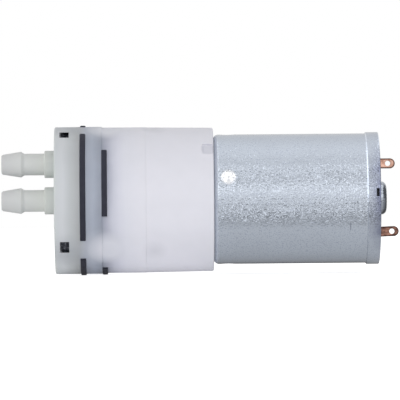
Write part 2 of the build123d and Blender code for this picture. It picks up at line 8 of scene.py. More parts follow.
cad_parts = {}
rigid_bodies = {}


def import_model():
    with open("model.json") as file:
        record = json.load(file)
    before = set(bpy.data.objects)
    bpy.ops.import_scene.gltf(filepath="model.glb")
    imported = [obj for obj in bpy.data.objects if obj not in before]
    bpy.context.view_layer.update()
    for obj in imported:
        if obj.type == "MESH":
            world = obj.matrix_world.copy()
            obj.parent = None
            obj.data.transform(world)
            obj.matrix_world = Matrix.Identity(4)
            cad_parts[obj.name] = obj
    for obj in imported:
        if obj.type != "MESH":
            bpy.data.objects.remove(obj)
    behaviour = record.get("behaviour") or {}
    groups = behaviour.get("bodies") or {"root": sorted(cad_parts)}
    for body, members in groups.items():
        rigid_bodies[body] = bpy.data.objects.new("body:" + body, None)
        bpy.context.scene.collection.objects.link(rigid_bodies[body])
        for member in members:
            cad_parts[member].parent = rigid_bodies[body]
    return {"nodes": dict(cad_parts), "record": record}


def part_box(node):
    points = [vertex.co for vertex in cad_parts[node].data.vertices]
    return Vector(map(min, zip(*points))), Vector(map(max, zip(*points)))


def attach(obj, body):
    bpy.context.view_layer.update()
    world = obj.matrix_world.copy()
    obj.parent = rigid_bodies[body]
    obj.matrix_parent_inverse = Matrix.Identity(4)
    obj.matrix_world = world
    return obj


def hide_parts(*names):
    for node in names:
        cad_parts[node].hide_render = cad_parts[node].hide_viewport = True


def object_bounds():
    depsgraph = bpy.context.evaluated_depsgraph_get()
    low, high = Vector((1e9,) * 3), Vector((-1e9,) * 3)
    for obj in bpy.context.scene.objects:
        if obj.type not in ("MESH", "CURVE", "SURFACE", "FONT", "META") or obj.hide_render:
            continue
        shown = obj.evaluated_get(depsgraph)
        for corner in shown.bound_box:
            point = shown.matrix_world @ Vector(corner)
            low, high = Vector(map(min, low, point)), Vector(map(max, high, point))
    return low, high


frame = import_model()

bl_info = {
    "name": "Micro vacuum pump",
    "version": (1, 0, 0),
    "blender": (4, 5, 0),
    "location": "3D View > Sidebar > Pump",
    "description": "Moulded, plated and rubber pieces for a small diaphragm vacuum pump",
    "category": "Add Mesh",
}

# Meshes are shaped in millimetres and scaled to metres when they are done.
# A station is a distance behind the front face of the head. An angle turns about the
# pump's axis, from +Y towards +Z.
MM = 0.001
FACETS = 256
FINE_FACETS = 64
CAD_LOW, CAD_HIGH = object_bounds()

BARB_LENGTH = 10.1
ORIGIN_STATION = -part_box("front_cover")[0].x / MM - BARB_LENGTH
SCREW_ANGLES = (104, 224, 344)
CHAMBER_ANGLES = (44, 164, 284)
SCREW_CIRCLE = 11.1
# Each side window: the screw's angle, how far beyond the screw's centre it starts, and
# the side of the pump it opens to
WINDOWS = ((104, 1.0, -1), (224, 0.0, -1), (344, 0.0, 1))
CHAMBER_CIRCLE = 7.2
# Pads that part the gasket's rim, and the diaphragm's tabs, each from one angle to another
PADS = ((94.6, 117.5), (212.4, 231.5), (334.5, 353.5))
DIMPLES = (90, 160, 270, 340)
TABS = ((15.8, 72.2), (137.8, 192.4), (246.6, 312.2))

# Joints between the layers of the head and the motor
COVER_BACK = 4.8
GASKET_BACK = 5.85
PLATE_BACK = 8.85
SHEET_BACK = 9.87
CYLINDER_BACK = 17.1
BRACKET_BACK = 29.8
BAND_FRONT = 58.3
CAN_BACK = 60.9
BOSS_BACK = 62.45

# Solder tags: half their width, their distance off the axis, and of each one its length
# behind the motor, the side of the axis it is on and its lean in degrees
TAG_HALF_WIDTH = 0.95
TAG_HEIGHT = 6.5
UPPER_TAG = (3.2, 1, 0)
LOWER_TAG = (3.84, -1, 4.5)


class PumpHead(bpy.types.PropertyGroup):
    """Sizes of the moulded and rubber pieces that a user may change."""

    edge_round: bpy.props.FloatProperty(
        name="Edge rounding", description="Rounding of the moulded discs' edges",
        default=0.0003, min=0.00005, max=0.0006, unit="LENGTH",
    )
    joint_round: bpy.props.FloatProperty(
        name="Joint rounding", description="Rounding of the edges where two layers meet",
        default=0.00001, min=0.000005, max=0.0003, unit="LENGTH",
    )
    rubber_round: bpy.props.FloatProperty(
        name="Rubber rounding", description="Rounding of the clamped rubber's bulged rim",
        default=0.00022, min=0.00005, max=0.0004, unit="LENGTH",
    )
    recess_depth: bpy.props.FloatProperty(
        name="Key recess depth", description="Depth of the recess near the motor",
        default=0.0003, min=0.0001, max=0.0008, unit="LENGTH",
    )


class PumpMotor(bpy.types.PropertyGroup):
    """Sizes of the motor's sheet metal that a user may change."""

    corner_round: bpy.props.FloatProperty(
        name="Can corner", description="Outer radius of the drawn can's front corner",
        default=0.00095, min=0.0004, max=0.0016, unit="LENGTH",
    )
    dimple_depth: bpy.props.FloatProperty(
        name="Dimple depth", description="Depth of the four dimples that hold the magnets",
        default=0.00028, min=0.0001, max=0.0005, unit="LENGTH",
    )
    tag_edge: bpy.props.FloatProperty(
        name="Tag edge", description="Rounding of the stamped solder tags' edges",
        default=0.00005, min=0.00001, max=0.0001, unit="LENGTH",
    )


class PumpColours(bpy.types.PropertyGroup):
    """Colours a user may change, as sRGB hex values."""

    nylon: bpy.props.StringProperty(
        name="Nylon", description="Natural nylon where nothing dark lies behind it", default="#E2E2EA",
    )
    rubber: bpy.props.StringProperty(
        name="Rubber", description="Moulded black rubber", default="#2C2D38",
    )
    zinc: bpy.props.StringProperty(
        name="Zinc", description="Zinc plating of the motor can", default="#CAD2DD",
    )
    bright_copper: bpy.props.StringProperty(
        name="Bright copper", description="Clean solder tag", default="#E2B7A4",
    )
    dull_copper: bpy.props.StringProperty(
        name="Dull copper", description="Tarnished solder tag", default="#A1786A",
    )


class PumpStage(bpy.types.PropertyGroup):
    """Light and floor."""

    front_light: bpy.props.FloatProperty(
        name="Front light", description="Power of the large soft light", default=24.0, min=0.0,
        unit="POWER",
    )
    room_light: bpy.props.FloatProperty(
        name="Room light", description="Strength of the even light from all sides",
        default=0.58, min=0.0, subtype="FACTOR",
    )


def x_of(station):
    """X in millimetres of a station."""
    return station - ORIGIN_STATION


def placed(angle, away=0):
    """Matrix that takes +Y to an angle about the pump's axis, some way off it."""
    return Matrix.Rotation(radians(angle), 4, "X") @ Matrix.Translation((0, away, 0))


def outline(bm, corners, closed=True):
    """Wire through (station, radius, rounding) corners."""
    points = [bm.verts.new((x_of(station), radius, 0)) for station, radius, _ in corners]
    for first, second in zip(points, points[1:]):
        bm.edges.new((first, second))
    if closed:
        bm.edges.new((points[-1], points[0]))
    for point, (_, _, rounding) in zip(points, corners):
        if rounding:
            bmesh.ops.bevel(
                bm, geom=[point], offset=rounding, offset_type="OFFSET", segments=5,
                profile=0.5, affect="VERTICES", material=-1,
            )


def turned(*corners, away=0, angle=0, facets=FACETS, closed=True):
    """Solid turned from corners about the pump's axis, then moved beside it."""
    bm = bmesh.new()
    outline(bm, corners, closed)
    bmesh.ops.spin(
        bm, geom=bm.verts[:] + bm.edges[:], cent=(0, 0, 0), axis=(1, 0, 0), angle=tau,
        steps=facets, use_merge=True,
    )
    bmesh.ops.remove_doubles(bm, verts=bm.verts, dist=0.0005)
    bmesh.ops.recalc_face_normals(bm, faces=bm.faces)
    bmesh.ops.transform(bm, matrix=placed(angle, away), verts=bm.verts)
    return bm


def rod(front, back, radius, away=0, angle=0, facets=FINE_FACETS):
    """Round bar between two stations."""
    return turned(
        (front, 0, 0), (front, radius, 0), (back, radius, 0), (back, 0, 0),
        away=away, angle=angle, facets=facets, closed=False,
    )


def slab(front, back, inside, outside, width, angle=0):
    """Square bar that reaches outwards from one distance off the axis to another."""
    bm = bmesh.new()
    bmesh.ops.create_cube(bm, size=1)
    middle = (x_of((front + back) / 2), (inside + outside) / 2, 0)
    size = Matrix.Diagonal((back - front, outside - inside, width, 1))
    bmesh.ops.transform(
        bm, matrix=placed(angle) @ Matrix.Translation(middle) @ size, verts=bm.verts
    )
    return bm


def sector(front, back, inside, outside, first, last):
    """Slice of a ring from one angle to another."""
    bm = bmesh.new()
    outline(bm, [(front, inside, 0), (front, outside, 0), (back, outside, 0), (back, inside, 0)])
    bmesh.ops.contextual_create(bm, geom=bm.edges[:])
    start = Matrix.Rotation(radians(first), 4, "X")
    bmesh.ops.transform(bm, matrix=start, verts=bm.verts)
    bmesh.ops.spin(
        bm, geom=bm.verts[:] + bm.edges[:] + bm.faces[:], cent=(0, 0, 0), axis=(1, 0, 0),
        angle=radians(last - first), steps=max(6, round((last - first) / 2)),
    )
    bmesh.ops.remove_doubles(bm, verts=bm.verts, dist=0.0005)
    bmesh.ops.recalc_face_normals(bm, faces=bm.faces)
    return bm


def window(angle, start, side):
    """Block that opens the cover's rim beside the outer part of one screw head."""
    screw_y = SCREW_CIRCLE * cos(radians(angle))
    screw_z = SCREW_CIRCLE * sin(radians(angle))
    outwards = 1 if screw_z > 0 else -1
    bm = bmesh.new()
    bmesh.ops.create_cube(bm, size=1)
    bmesh.ops.scale(bm, vec=(1.75, 8, 2.0 - start), verts=bm.verts)
    middle = (x_of(1.875), screw_y + side * 4, screw_z + outwards * (start + 2.0) / 2)
    bmesh.ops.translate(bm, vec=middle, verts=bm.verts)
    return bm


def as_object(name, bm):
    """Scene object that takes over a bmesh."""
    mesh = bpy.data.meshes.new(name)
    bm.to_mesh(mesh)
    bm.free()
    obj = bpy.data.objects.new(name, mesh)
    bpy.context.scene.collection.objects.link(obj)
    return obj


def combined(bm, others, operation="DIFFERENCE"):
    """The first solid with the others cut out of it, or joined on."""
    body = as_object("work", bm)
    tools = bpy.data.collections.new("tools")
    bpy.context.scene.collection.children.link(tools)
    for other in others:
        tool = as_object("tool", other)
        bpy.context.scene.collection.objects.unlink(tool)
        tools.objects.link(tool)
    modifier = body.modifiers.new("shape", "BOOLEAN")
    modifier.operation = operation
    modifier.operand_type = "COLLECTION"
    modifier.collection = tools
    modifier.solver = "EXACT"
    shaped = body.evaluated_get(bpy.context.evaluated_depsgraph_get())
    result = bmesh.new()
    result.from_mesh(shaped.to_mesh())
    shaped.to_mesh_clear()
    spent = [body.data] + [tool.data for tool in tools.objects]
    for tool in list(tools.objects):
        bpy.data.objects.remove(tool)
    bpy.data.objects.remove(body)
    bpy.data.collections.remove(tools)
    for mesh in spent:
        bpy.data.meshes.remove(mesh)
    return result


def finished(name, bm, body, nodes, material, sharp=28):
    """Piece in metres that rides on a body, stands for CAD nodes and has its finish."""
    if not bm.faces:
        raise RuntimeError(f"{name} has no faces")
    bmesh.ops.remove_doubles(bm, verts=bm.verts, dist=0.0005)
    bmesh.ops.scale(bm, vec=(MM, MM, MM), verts=bm.verts)
    piece = as_object(name, bm)
    piece.data.shade_smooth()
    piece.data.set_sharp_from_angle(angle=radians(sharp))
    piece.data.materials.append(material)
    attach(piece, body)
    if nodes:
        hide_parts(*nodes)
    return piece


def joined(*solids):
    """One bmesh that holds several separate solids."""
    whole = bmesh.new()
    for solid in solids:
        mesh = bpy.data.meshes.new("part")
        solid.to_mesh(mesh)
        solid.free()
        whole.from_mesh(mesh)
        bpy.data.meshes.remove(mesh)
    return whole


# Materials

def linear(hex_colour):
    """Linear RGBA of an sRGB hex colour."""
    values = [int(hex_colour[i:i + 2], 16) / 255 for i in (1, 3, 5)]
    curve = [v / 12.92 if v <= 0.04045 else ((v + 0.055) / 1.055) ** 2.4 for v in values]
    return (*curve, 1)


def add_node(tree, kind, inputs=(), **settings):
    """Adds a node with its settings; an input is a value or a socket to link from."""
    node = tree.nodes.new(kind)
    for name, value in settings.items():
        setattr(node, name, value)
    for name, value in dict(inputs).items():
        if isinstance(value, bpy.types.NodeSocket):
            tree.links.new(value, node.inputs[name])
        else:
            node.inputs[name].default_value = value
    return node


def started(name):
    """New material with its tree, its shader and the place on the object."""
    material = bpy.data.materials.new(name)
    material.use_nodes = True
    tree = material.node_tree
    shader = tree.nodes["Principled BSDF"]
    place = add_node(tree, "ShaderNodeTexCoord").outputs["Object"]
    return material, tree, shader, place


def blended(tree, factor, first, second, blend="MIX"):
    """Colour between two colours or sockets."""
    node = add_node(
        tree, "ShaderNodeMix", {0: factor, 6: first, 7: second}, data_type="RGBA", blend_type=blend
    )
    return node.outputs[2]


def spread(tree, value, low, high, to_low=0.0, to_high=1.0):
    """Value stretched from one range to another."""
    node = add_node(
        tree, "ShaderNodeMapRange",
        {"Value": value, "From Min": low, "From Max": high, "To Min": to_low, "To Max": to_high},
    )
    return node.outputs["Result"]


def grain(tree, place, size_mm, detail=2.0, roughness=0.5, kind="ShaderNodeTexNoise"):
    """Noise whose features have a real size."""
    node = add_node(
        tree, kind,
        {"Vector": place, "Scale": 1 / (size_mm * MM), "Detail": detail, "Roughness": roughness},
    )
    return node.outputs[0]


def raised(tree, height, depth_mm, strength=1.0, under=None):
    """Bump from a height field of a real depth."""
    inputs = {"Height": height, "Distance": depth_mm * MM, "Strength": strength}
    if under is not None:
        inputs["Normal"] = under
    return add_node(tree, "ShaderNodeBump", inputs).outputs["Normal"]


# Colours of the milky nylon along the pump, with painted shade where the dark rubber behind it would show
# through
NYLON_TONE_AND_SHADE = (
    (-10.1, "#C9CACB"),
    (-6.0, "#D3D5D4"),
    (-2.0, "#D7DAD6"),
    (-0.3, "#CFD4D1"),
    (0.3, "#CCD0D3"),
    (1.6, "#CED1D5"),
    (3.0, "#BEC2C5"),
    (4.5, "#AEB1B3"),
    (5.85, "#A0A6B4"),
    (7.3, "#A6ADBB"),
    (8.8, "#959BA9"),
    (9.9, "#AEB0BF"),
    (11.0, "#C9CBD7"),
    (12.0, "#D6D7E2"),
    (13.2, "#DDDEE7"),
    (16.0, "#E2E2EA"),
)


def away_from(tree, place, station, radius, angles):
    """Distance to the nearest of some points at one station round the pump."""
    nearest = None
    for angle in angles:
        point = placed(angle) @ Vector((x_of(station), radius, 0)) * MM
        away = add_node(
            tree, "ShaderNodeVectorMath", {0: place, 1: point}, operation="DISTANCE"
        ).outputs["Value"]
        if nearest is None:
            nearest = away
        else:
            nearest = add_node(
                tree, "ShaderNodeMath", {0: nearest, 1: away}, operation="MINIMUM"
            ).outputs[0]
    return nearest


def moulded_nylon(colours):
    """Natural nylon 6, injection moulded."""
    # Milky and a little translucent. Where rubber and screws lie behind it, their grey-blue shade is painted
    # into its colour. A fine spark-eroded grain keeps its shine broad and soft.
    material, tree, shader, place = started("moulded_nylon")
    wander = grain(tree, place, 5.0)
    along = add_node(tree, "ShaderNodeSeparateXYZ", {"Vector": place}).outputs["X"]
    shifted = add_node(
        tree, "ShaderNodeMath",
        {0: along, 1: spread(tree, wander, 0.3, 0.7, -0.25 * MM, 0.25 * MM)}, operation="ADD",
    ).outputs[0]
    # Ramp of the nylon's colour along the pump, carrying the painted shade of the rubber behind it
    first = NYLON_TONE_AND_SHADE[0][0]
    last = NYLON_TONE_AND_SHADE[-1][0]
    ramp = add_node(
        tree, "ShaderNodeValToRGB",
        {"Fac": spread(tree, shifted, x_of(first) * MM, x_of(last) * MM)},
    )
    stops = ramp.color_ramp.elements
    for station, colour in NYLON_TONE_AND_SHADE[1:-1]:
        stops.new((station - first) / (last - first)).color = linear(colour)
    stops[0].color = linear(NYLON_TONE_AND_SHADE[0][1])
    stops[-1].color = linear(colours.nylon)
    # Painted shade: between the rubber's ends the nylon is left lighter, and round the screw heads it is
    # darker. The three screws' tips end just inside the wall and get a faint painted shade, as the key recess
    # does.
    pads = away_from(tree, place, 8.6, 13.9, [(first + last) / 2 for first, last in PADS])
    free = spread(tree, pads, 2.2 * MM, 4.8 * MM, 0.7, 0.0)
    tone_and_shade = blended(tree, free, ramp.outputs["Color"], linear("#BEC2CC"))
    behind = away_from(tree, place, 10.2, 13.9, [(first + last) / 2 for first, last in PADS])
    clear = spread(tree, behind, 1.7 * MM, 4.2 * MM, 0.8, 0.0)
    tone_and_shade = blended(tree, clear, tone_and_shade, linear("#DEDFE7"))
    heads = away_from(tree, place, 2.4, 12.6, SCREW_ANGLES)
    dim = spread(tree, heads, 1.6 * MM, 4.3 * MM, 0.42, 0.0)
    tone_and_shade = blended(tree, dim, tone_and_shade, linear("#9599A1"))
    tips = away_from(tree, place, 18.7, 13.5, SCREW_ANGLES)
    shade = spread(tree, tips, 0.4 * MM, 2.6 * MM, 0.28, 0.0)
    shaded = blended(tree, shade, tone_and_shade, linear("#B4B5BE"))
    recess = away_from(tree, place, 28.8, 13.3, [135.4])
    hollow = spread(tree, recess, 1.2 * MM, 1.5 * MM, 0.36, 0.0)
    shaded = blended(tree, hollow, shaded, linear("#B9BAC6"))
    cloud = spread(tree, grain(tree, place, 3.0, 3.0), 0.3, 0.7, 0.0, 0.10)
    colour = blended(tree, cloud, shaded, linear("#C9CBD2"))
    tree.links.new(colour, shader.inputs["Base Color"])
    sink = raised(tree, grain(tree, place, 6.0, 1.0), 0.03, 0.6)
    spark = raised(tree, grain(tree, place, 0.12, 2.0), 0.004, 0.5, sink)
    tree.links.new(spark, shader.inputs["Normal"])
    gloss = spread(tree, grain(tree, place, 0.5, 2.0), 0.3, 0.7, 0.40, 0.52)
    tree.links.new(gloss, shader.inputs["Roughness"])
    shader.inputs["IOR"].default_value = 1.53
    shader.inputs["Specular IOR Level"].default_value = 0.35
    shader.inputs["Subsurface Weight"].default_value = 0.3
    shader.inputs["Subsurface Radius"].default_value = (1.0, 0.95, 0.9)
    shader.inputs["Subsurface Scale"].default_value = 0.3 * MM
    return material


def moulded_rubber(colours):
    """Black nitrile rubber, compression moulded and die cut."""
    # Dull charcoal with a slight blue cast, a dusty bloom and a faint sheen on its rim.
    material, tree, shader, place = started("moulded_rubber")
    bloom = spread(tree, grain(tree, place, 1.5, 4.0), 0.35, 0.75, 0.0, 0.35)
    colour = blended(tree, bloom, linear(colours.rubber), linear("#383A46"))
    tree.links.new(colour, shader.inputs["Base Color"])
    skin = raised(tree, grain(tree, place, 0.15, 3.0), 0.01, 0.6)
    tree.links.new(skin, shader.inputs["Normal"])
    gloss = spread(tree, grain(tree, place, 0.6, 2.0), 0.3, 0.7, 0.55, 0.7)
    tree.links.new(gloss, shader.inputs["Roughness"])
    shader.inputs["IOR"].default_value = 1.52
    shader.inputs["Specular IOR Level"].default_value = 0.2
    return material


def zinc_plate(colours):
    """Mild steel, deep drawn and electroplated with bright zinc."""
    # Blue-white mirror. The drawn steel's orange peel of about 0.3 mm breaks what it mirrors into bright and
    # dark specks, and one scratch marks its side. Painted into its colour are a black shadow in the slots
    # pressed into its rear edge, shade over the rear band and the boss, and a near-white highlight in the
    # dimples.
    material, tree, shader, place = started("zinc_plate")
    shader.inputs["Metallic"].default_value = 1.0
    pits = spread(tree, grain(tree, place, 0.22, 1.0), 0.52, 0.68, 0.0, 0.5)
    tone = blended(tree, pits, linear(colours.zinc), linear("#A3A9BD"))
    cloud = spread(tree, grain(tree, place, 4.0, 3.0), 0.35, 0.7, 0.0, 0.25)
    tone = blended(tree, cloud, tone, linear("#BFC5D0"))
    scratched = add_node(
        tree, "ShaderNodeMapping",
        {"Vector": place, "Location": [-v for v in placed(152 + 54) @ Vector((x_of(55.2), 12.2, 0)) * MM]},
    ).outputs["Vector"]
    scratched = add_node(
        tree, "ShaderNodeMapping", {"Vector": scratched, "Scale": (7.0, 1.0, 1.0)}
    ).outputs["Vector"]
    scratched = add_node(
        tree, "ShaderNodeVectorMath", {0: scratched}, operation="LENGTH"
    ).outputs["Value"]
    tone = blended(
        tree, spread(tree, scratched, 0.6 * MM, 1.0 * MM, 0.5, 0.0), tone, linear("#6E7484")
    )
    parts = add_node(tree, "ShaderNodeSeparateXYZ", {"Vector": place}).outputs
    flat = add_node(tree, "ShaderNodeCombineXYZ", {"Y": parts["Y"], "Z": parts["Z"]}).outputs[0]
    radius = add_node(tree, "ShaderNodeVectorMath", {0: flat}, operation="LENGTH").outputs["Value"]
    # Painted shadow: inside the slots pressed into the rear edge the plating is darkened to near black
    inner = spread(tree, radius, 12.36 * MM, 12.41 * MM, 1.0, 0.0)
    before = spread(tree, parts["X"], x_of(CAN_BACK - 0.29) * MM, x_of(CAN_BACK - 0.24) * MM, 1.0, 0.0)
    after = spread(tree, parts["X"], x_of(CAN_BACK - 1.06) * MM, x_of(CAN_BACK - 1.01) * MM)
    slot = add_node(tree, "ShaderNodeMath", {0: before, 1: after}, operation="MULTIPLY").outputs[0]
    slot = add_node(tree, "ShaderNodeMath", {0: slot, 1: inner}, operation="MULTIPLY").outputs[0]
    tone = blended(tree, slot, tone, linear("#2C2D31"))
    # Painted shade over the rear band, deepening towards the can's rear edge, strongest in the middle rows
    # that face the front and fading above and below
    band = spread(tree, parts["X"], x_of(BAND_FRONT + 0.25) * MM, x_of(BAND_FRONT + 0.4) * MM, 0.0, 0.22)
    rear = spread(tree, parts["X"], x_of(BAND_FRONT + 0.8) * MM, x_of(CAN_BACK - 0.2) * MM, 0.0, 0.5)
    band_shade = add_node(tree, "ShaderNodeMath", {0: band, 1: rear}, operation="ADD").outputs[0]
    band_shade_mottle = spread(tree, grain(tree, place, 3.0, 2.0), 0.35, 0.65, 0.8, 1.35)
    height = add_node(tree, "ShaderNodeMath", {0: parts["Z"]}, operation="ABSOLUTE").outputs[0]
    sides = spread(tree, height, 5.5 * MM, 10.0 * MM, 1.05, 0.12)
    band_shade_mottle = add_node(tree, "ShaderNodeMath", {0: band_shade_mottle, 1: sides}, operation="MULTIPLY").outputs[0]
    band_shade = add_node(tree, "ShaderNodeMath", {0: band_shade, 1: band_shade_mottle}, operation="MULTIPLY").outputs[0]
    outer = spread(tree, radius, 11.9 * MM, 12.0 * MM)
    band_shade = add_node(tree, "ShaderNodeMath", {0: band_shade, 1: outer}, operation="MULTIPLY").outputs[0]
    tone = blended(tree, band_shade, tone, linear("#777C96"))
    # Painted shade: the rear boss is darkened
    boss = spread(tree, parts["X"], x_of(CAN_BACK + 0.45) * MM, x_of(CAN_BACK + 0.95) * MM, 0.0, 0.75)
    tone = blended(tree, boss, tone, linear("#5E6169"))
    # Painted highlight: the dimples are lightened to near white
    dimples = away_from(tree, place, BRACKET_BACK + 2.7, 12.1, DIMPLES)
    tone = blended(tree, spread(tree, dimples, 1.1 * MM, 1.6 * MM, 0.9, 0.0), tone, linear("#F6F7FA"))
    tree.links.new(tone, shader.inputs["Base Color"])
    corner = spread(tree, parts["X"], x_of(BRACKET_BACK + 0.6) * MM, x_of(BRACKET_BACK + 0.85) * MM, 0.0, 1.0)
    tree.links.new(corner, shader.inputs["Metallic"])
    smooth = spread(tree, dimples, 1.1 * MM, 1.6 * MM, 0.12, 1.0)
    bump = raised(tree, grain(tree, place, 0.32, 0.0), 0.053, smooth)
    tree.links.new(bump, shader.inputs["Normal"])
    gloss = spread(tree, grain(tree, place, 0.5, 3.0), 0.3, 0.7, 0.05, 0.09)
    tree.links.new(gloss, shader.inputs["Roughness"])
    return material


def black_oxide(colours):
    """Carbon steel, cold headed and blackened."""
    # Blue-black, oily satin; worn to bare grey on high spots.
    material, tree, shader, place = started("black_oxide")
    shader.inputs["Metallic"].default_value = 0.4
    worn = spread(tree, grain(tree, place, 0.4, 4.0), 0.5, 0.68, 0.0, 0.8)
    colour = blended(tree, worn, linear("#34363F"), linear("#858891"))
    tree.links.new(colour, shader.inputs["Base Color"])
    bump = raised(tree, grain(tree, place, 0.1, 2.0), 0.004, 0.6)
    tree.links.new(bump, shader.inputs["Normal"])
    gloss = spread(tree, grain(tree, place, 0.3, 2.0), 0.3, 0.7, 0.34, 0.5)
    tree.links.new(gloss, shader.inputs["Roughness"])
    return material


def stamped_copper(name, clean, dull, oxide, length, side, lean):
    """Copper strip, rolled and stamped, with oxide in patches."""
    # Pink-orange metal whose oxide browns it in clouds, darker along its cut edges, with fine rolling lines.
    material, tree, shader, place = started(name)
    shader.inputs["Metallic"].default_value = 1.0
    patches = spread(tree, grain(tree, place, 0.7, 4.0), 0.4, 0.65, 0.0, oxide)
    colour = blended(tree, patches, linear(clean), linear(dull))
    root = Matrix.Rotation(radians(lean), 3, "Y") @ Vector((x_of(CAN_BACK), 0, side * TAG_HEIGHT))
    flat = add_node(
        tree, "ShaderNodeMapping",
        {"Vector": place, "Location": -root * MM, "Rotation": (0, radians(lean), 0)},
    ).outputs["Vector"]
    parts = add_node(tree, "ShaderNodeSeparateXYZ", {"Vector": flat}).outputs
    round_end = (length - TAG_HALF_WIDTH) * MM
    beyond = spread(tree, parts["X"], round_end, round_end + MM, 0.0, MM)
    flat = add_node(tree, "ShaderNodeCombineXYZ", {"X": beyond, "Z": parts["Z"]}).outputs[0]
    off = add_node(tree, "ShaderNodeVectorMath", {0: flat}, operation="LENGTH").outputs["Value"]
    # A darker band along the tag's edges and round end
    rim = spread(tree, off, 0.62 * MM, 0.78 * MM, 0.0, 0.85)
    colour = blended(tree, rim, colour, linear("#4A332E"))
    tree.links.new(colour, shader.inputs["Base Color"])
    lines = add_node(
        tree, "ShaderNodeMapping", {"Vector": place, "Scale": (0.08, 1.0, 1.0)}
    ).outputs["Vector"]
    bump = raised(tree, grain(tree, lines, 0.06, 2.0), 0.003, 0.7)
    tree.links.new(bump, shader.inputs["Normal"])
    gloss = spread(tree, patches, 0.0, 1.0, 0.28, 0.5)
    tree.links.new(gloss, shader.inputs["Roughness"])
    return material


# Finishes of the CAD parts that keep their own mesh: colour, second colour, metallic,
# lowest and highest roughness, grain size and bump depth in millimetres
PLAIN_FINISHES = {
    # Ground hardened steel: neutral mirror broken by fine circular grinding lines
    "ground_steel": ("#C9CBD0", "#AEB1B8", 1.0, 0.16, 0.3, 0.05, 0.002),
    # Turned brass: warm yellow with fine tool marks
    "brass": ("#D8B66A", "#BE9A52", 1.0, 0.22, 0.38, 0.08, 0.003),
    # Sintered bronze: dull brown-gold with pores that hold oil
    "bronze": ("#A97C4A", "#6E4E2C", 1.0, 0.4, 0.6, 0.1, 0.012),
    # Acetal, moulded: dense white with a waxy shine
    "acetal": ("#EEECE6", "#DEDCD6", 0.0, 0.3, 0.42, 0.5, 0.004),
    # Vulcanised fibre, punched: red-brown paper board
    "fibre": ("#8C4A34", "#6E3827", 0.0, 0.6, 0.8, 0.15, 0.01),
    # Electrical sheet steel, punched and stacked: blue-grey with scale
    "sheet_steel": ("#7E8288", "#5E6168", 1.0, 0.35, 0.55, 0.3, 0.008),
    # Phenolic, moulded: brown-black with mottled filler
    "phenolic": ("#3A2A22", "#55392B", 0.0, 0.35, 0.5, 0.2, 0.005),
    # Ferrite, sintered and ground: charcoal with chipped grain
    "ferrite": ("#3C3D42", "#55565C", 0.1, 0.5, 0.7, 0.12, 0.012),
    # Spring steel, rolled and tempered: dark straw-blue
    "spring_steel": ("#8F9096", "#76706A", 1.0, 0.25, 0.4, 0.15, 0.003),
    # Carbon and copper powder, pressed: black with tiny bright flecks
    "carbon": ("#26262A", "#4E4238", 0.2, 0.45, 0.65, 0.08, 0.008),
}


def plain_finish(name):
    """Material of a carried-over CAD part, from its row of finishes."""
    first, second, metallic, low, high, size, depth = PLAIN_FINISHES[name]
    material, tree, shader, place = started(name + "_finish")
    shader.inputs["Metallic"].default_value = metallic
    mottle = spread(tree, grain(tree, place, 4 * size, 4.0), 0.3, 0.7)
    colour = blended(tree, mottle, linear(first), linear(second))
    tree.links.new(colour, shader.inputs["Base Color"])
    bump = raised(tree, grain(tree, place, size, 3.0), depth, 0.7)
    tree.links.new(bump, shader.inputs["Normal"])
    tree.links.new(spread(tree, mottle, 0.0, 1.0, low, high), shader.inputs["Roughness"])
    return material


def wound_wire():
    """Enamelled copper wire, wound and varnished."""
    # Amber-red wire of 0.2 mm laid in rows, glossy with varnish, with painted shade in the grooves between
    # the rows.
    material, tree, shader, place = started("wound_wire")
    rows = add_node(
        tree, "ShaderNodeTexWave",
        {"Vector": place, "Scale": 1 / (0.2 * MM) / tau * 0.31, "Distortion": 0.4, "Detail": 1.0},
        bands_direction="DIAGONAL",
    ).outputs["Fac"]
    # Painted shade: dark brown-red in the grooves, amber on the wire's tops
    colour = blended(tree, rows, linear("#5A2413"), linear("#B0552B"))
    tree.links.new(colour, shader.inputs["Base Color"])
    tree.links.new(raised(tree, rows, 0.05, 0.8), shader.inputs["Normal"])
    shader.inputs["Metallic"].default_value = 0.6
    shader.inputs["Coat Weight"].default_value = 0.5
    tree.links.new(spread(tree, rows, 0.0, 1.0, 0.4, 0.28), shader.inputs["Roughness"])
    return material


MATERIALS = {}


def material_of(slot, context):
    """The one material for a slot of the record."""
    colours = context.scene.pump_colours
    makers = {
        "natural_nylon": lambda: moulded_nylon(colours),
        "black_rubber": lambda: moulded_rubber(colours),
        "zinc_steel": lambda: zinc_plate(colours),
        "black_oxide_steel": lambda: black_oxide(colours),
        "bare_copper": lambda: stamped_copper(
            "bright_copper", colours.bright_copper, "#C08A74", 0.6, *UPPER_TAG
        ),
        "tarnished_copper": lambda: stamped_copper(
            "tarnished_copper", colours.dull_copper, "#5E4740", 0.8, *LOWER_TAG
        ),
        "enamelled_copper": wound_wire,
    }
    if slot not in MATERIALS:
        MATERIALS[slot] = makers[slot]() if slot in makers else plain_finish(slot)
    return MATERIALS[slot]


# Shapes

def barb_corners(end):
    """Corners of a hose barb from its tip to the cover, where it ends at a given corner list."""
    return [
        (-BARB_LENGTH, 1.62, 0.08),
        (-9.85, 1.88, 0.1),
        (-6.4, 2.43, 0.07),
        (-5.8, 2.05, 0.1),
        (-2.0, 2.05, 0.12),
        (-2.0, 2.57, 0.2),
        (-0.2, 2.57, 0.12),
        *end,
    ]


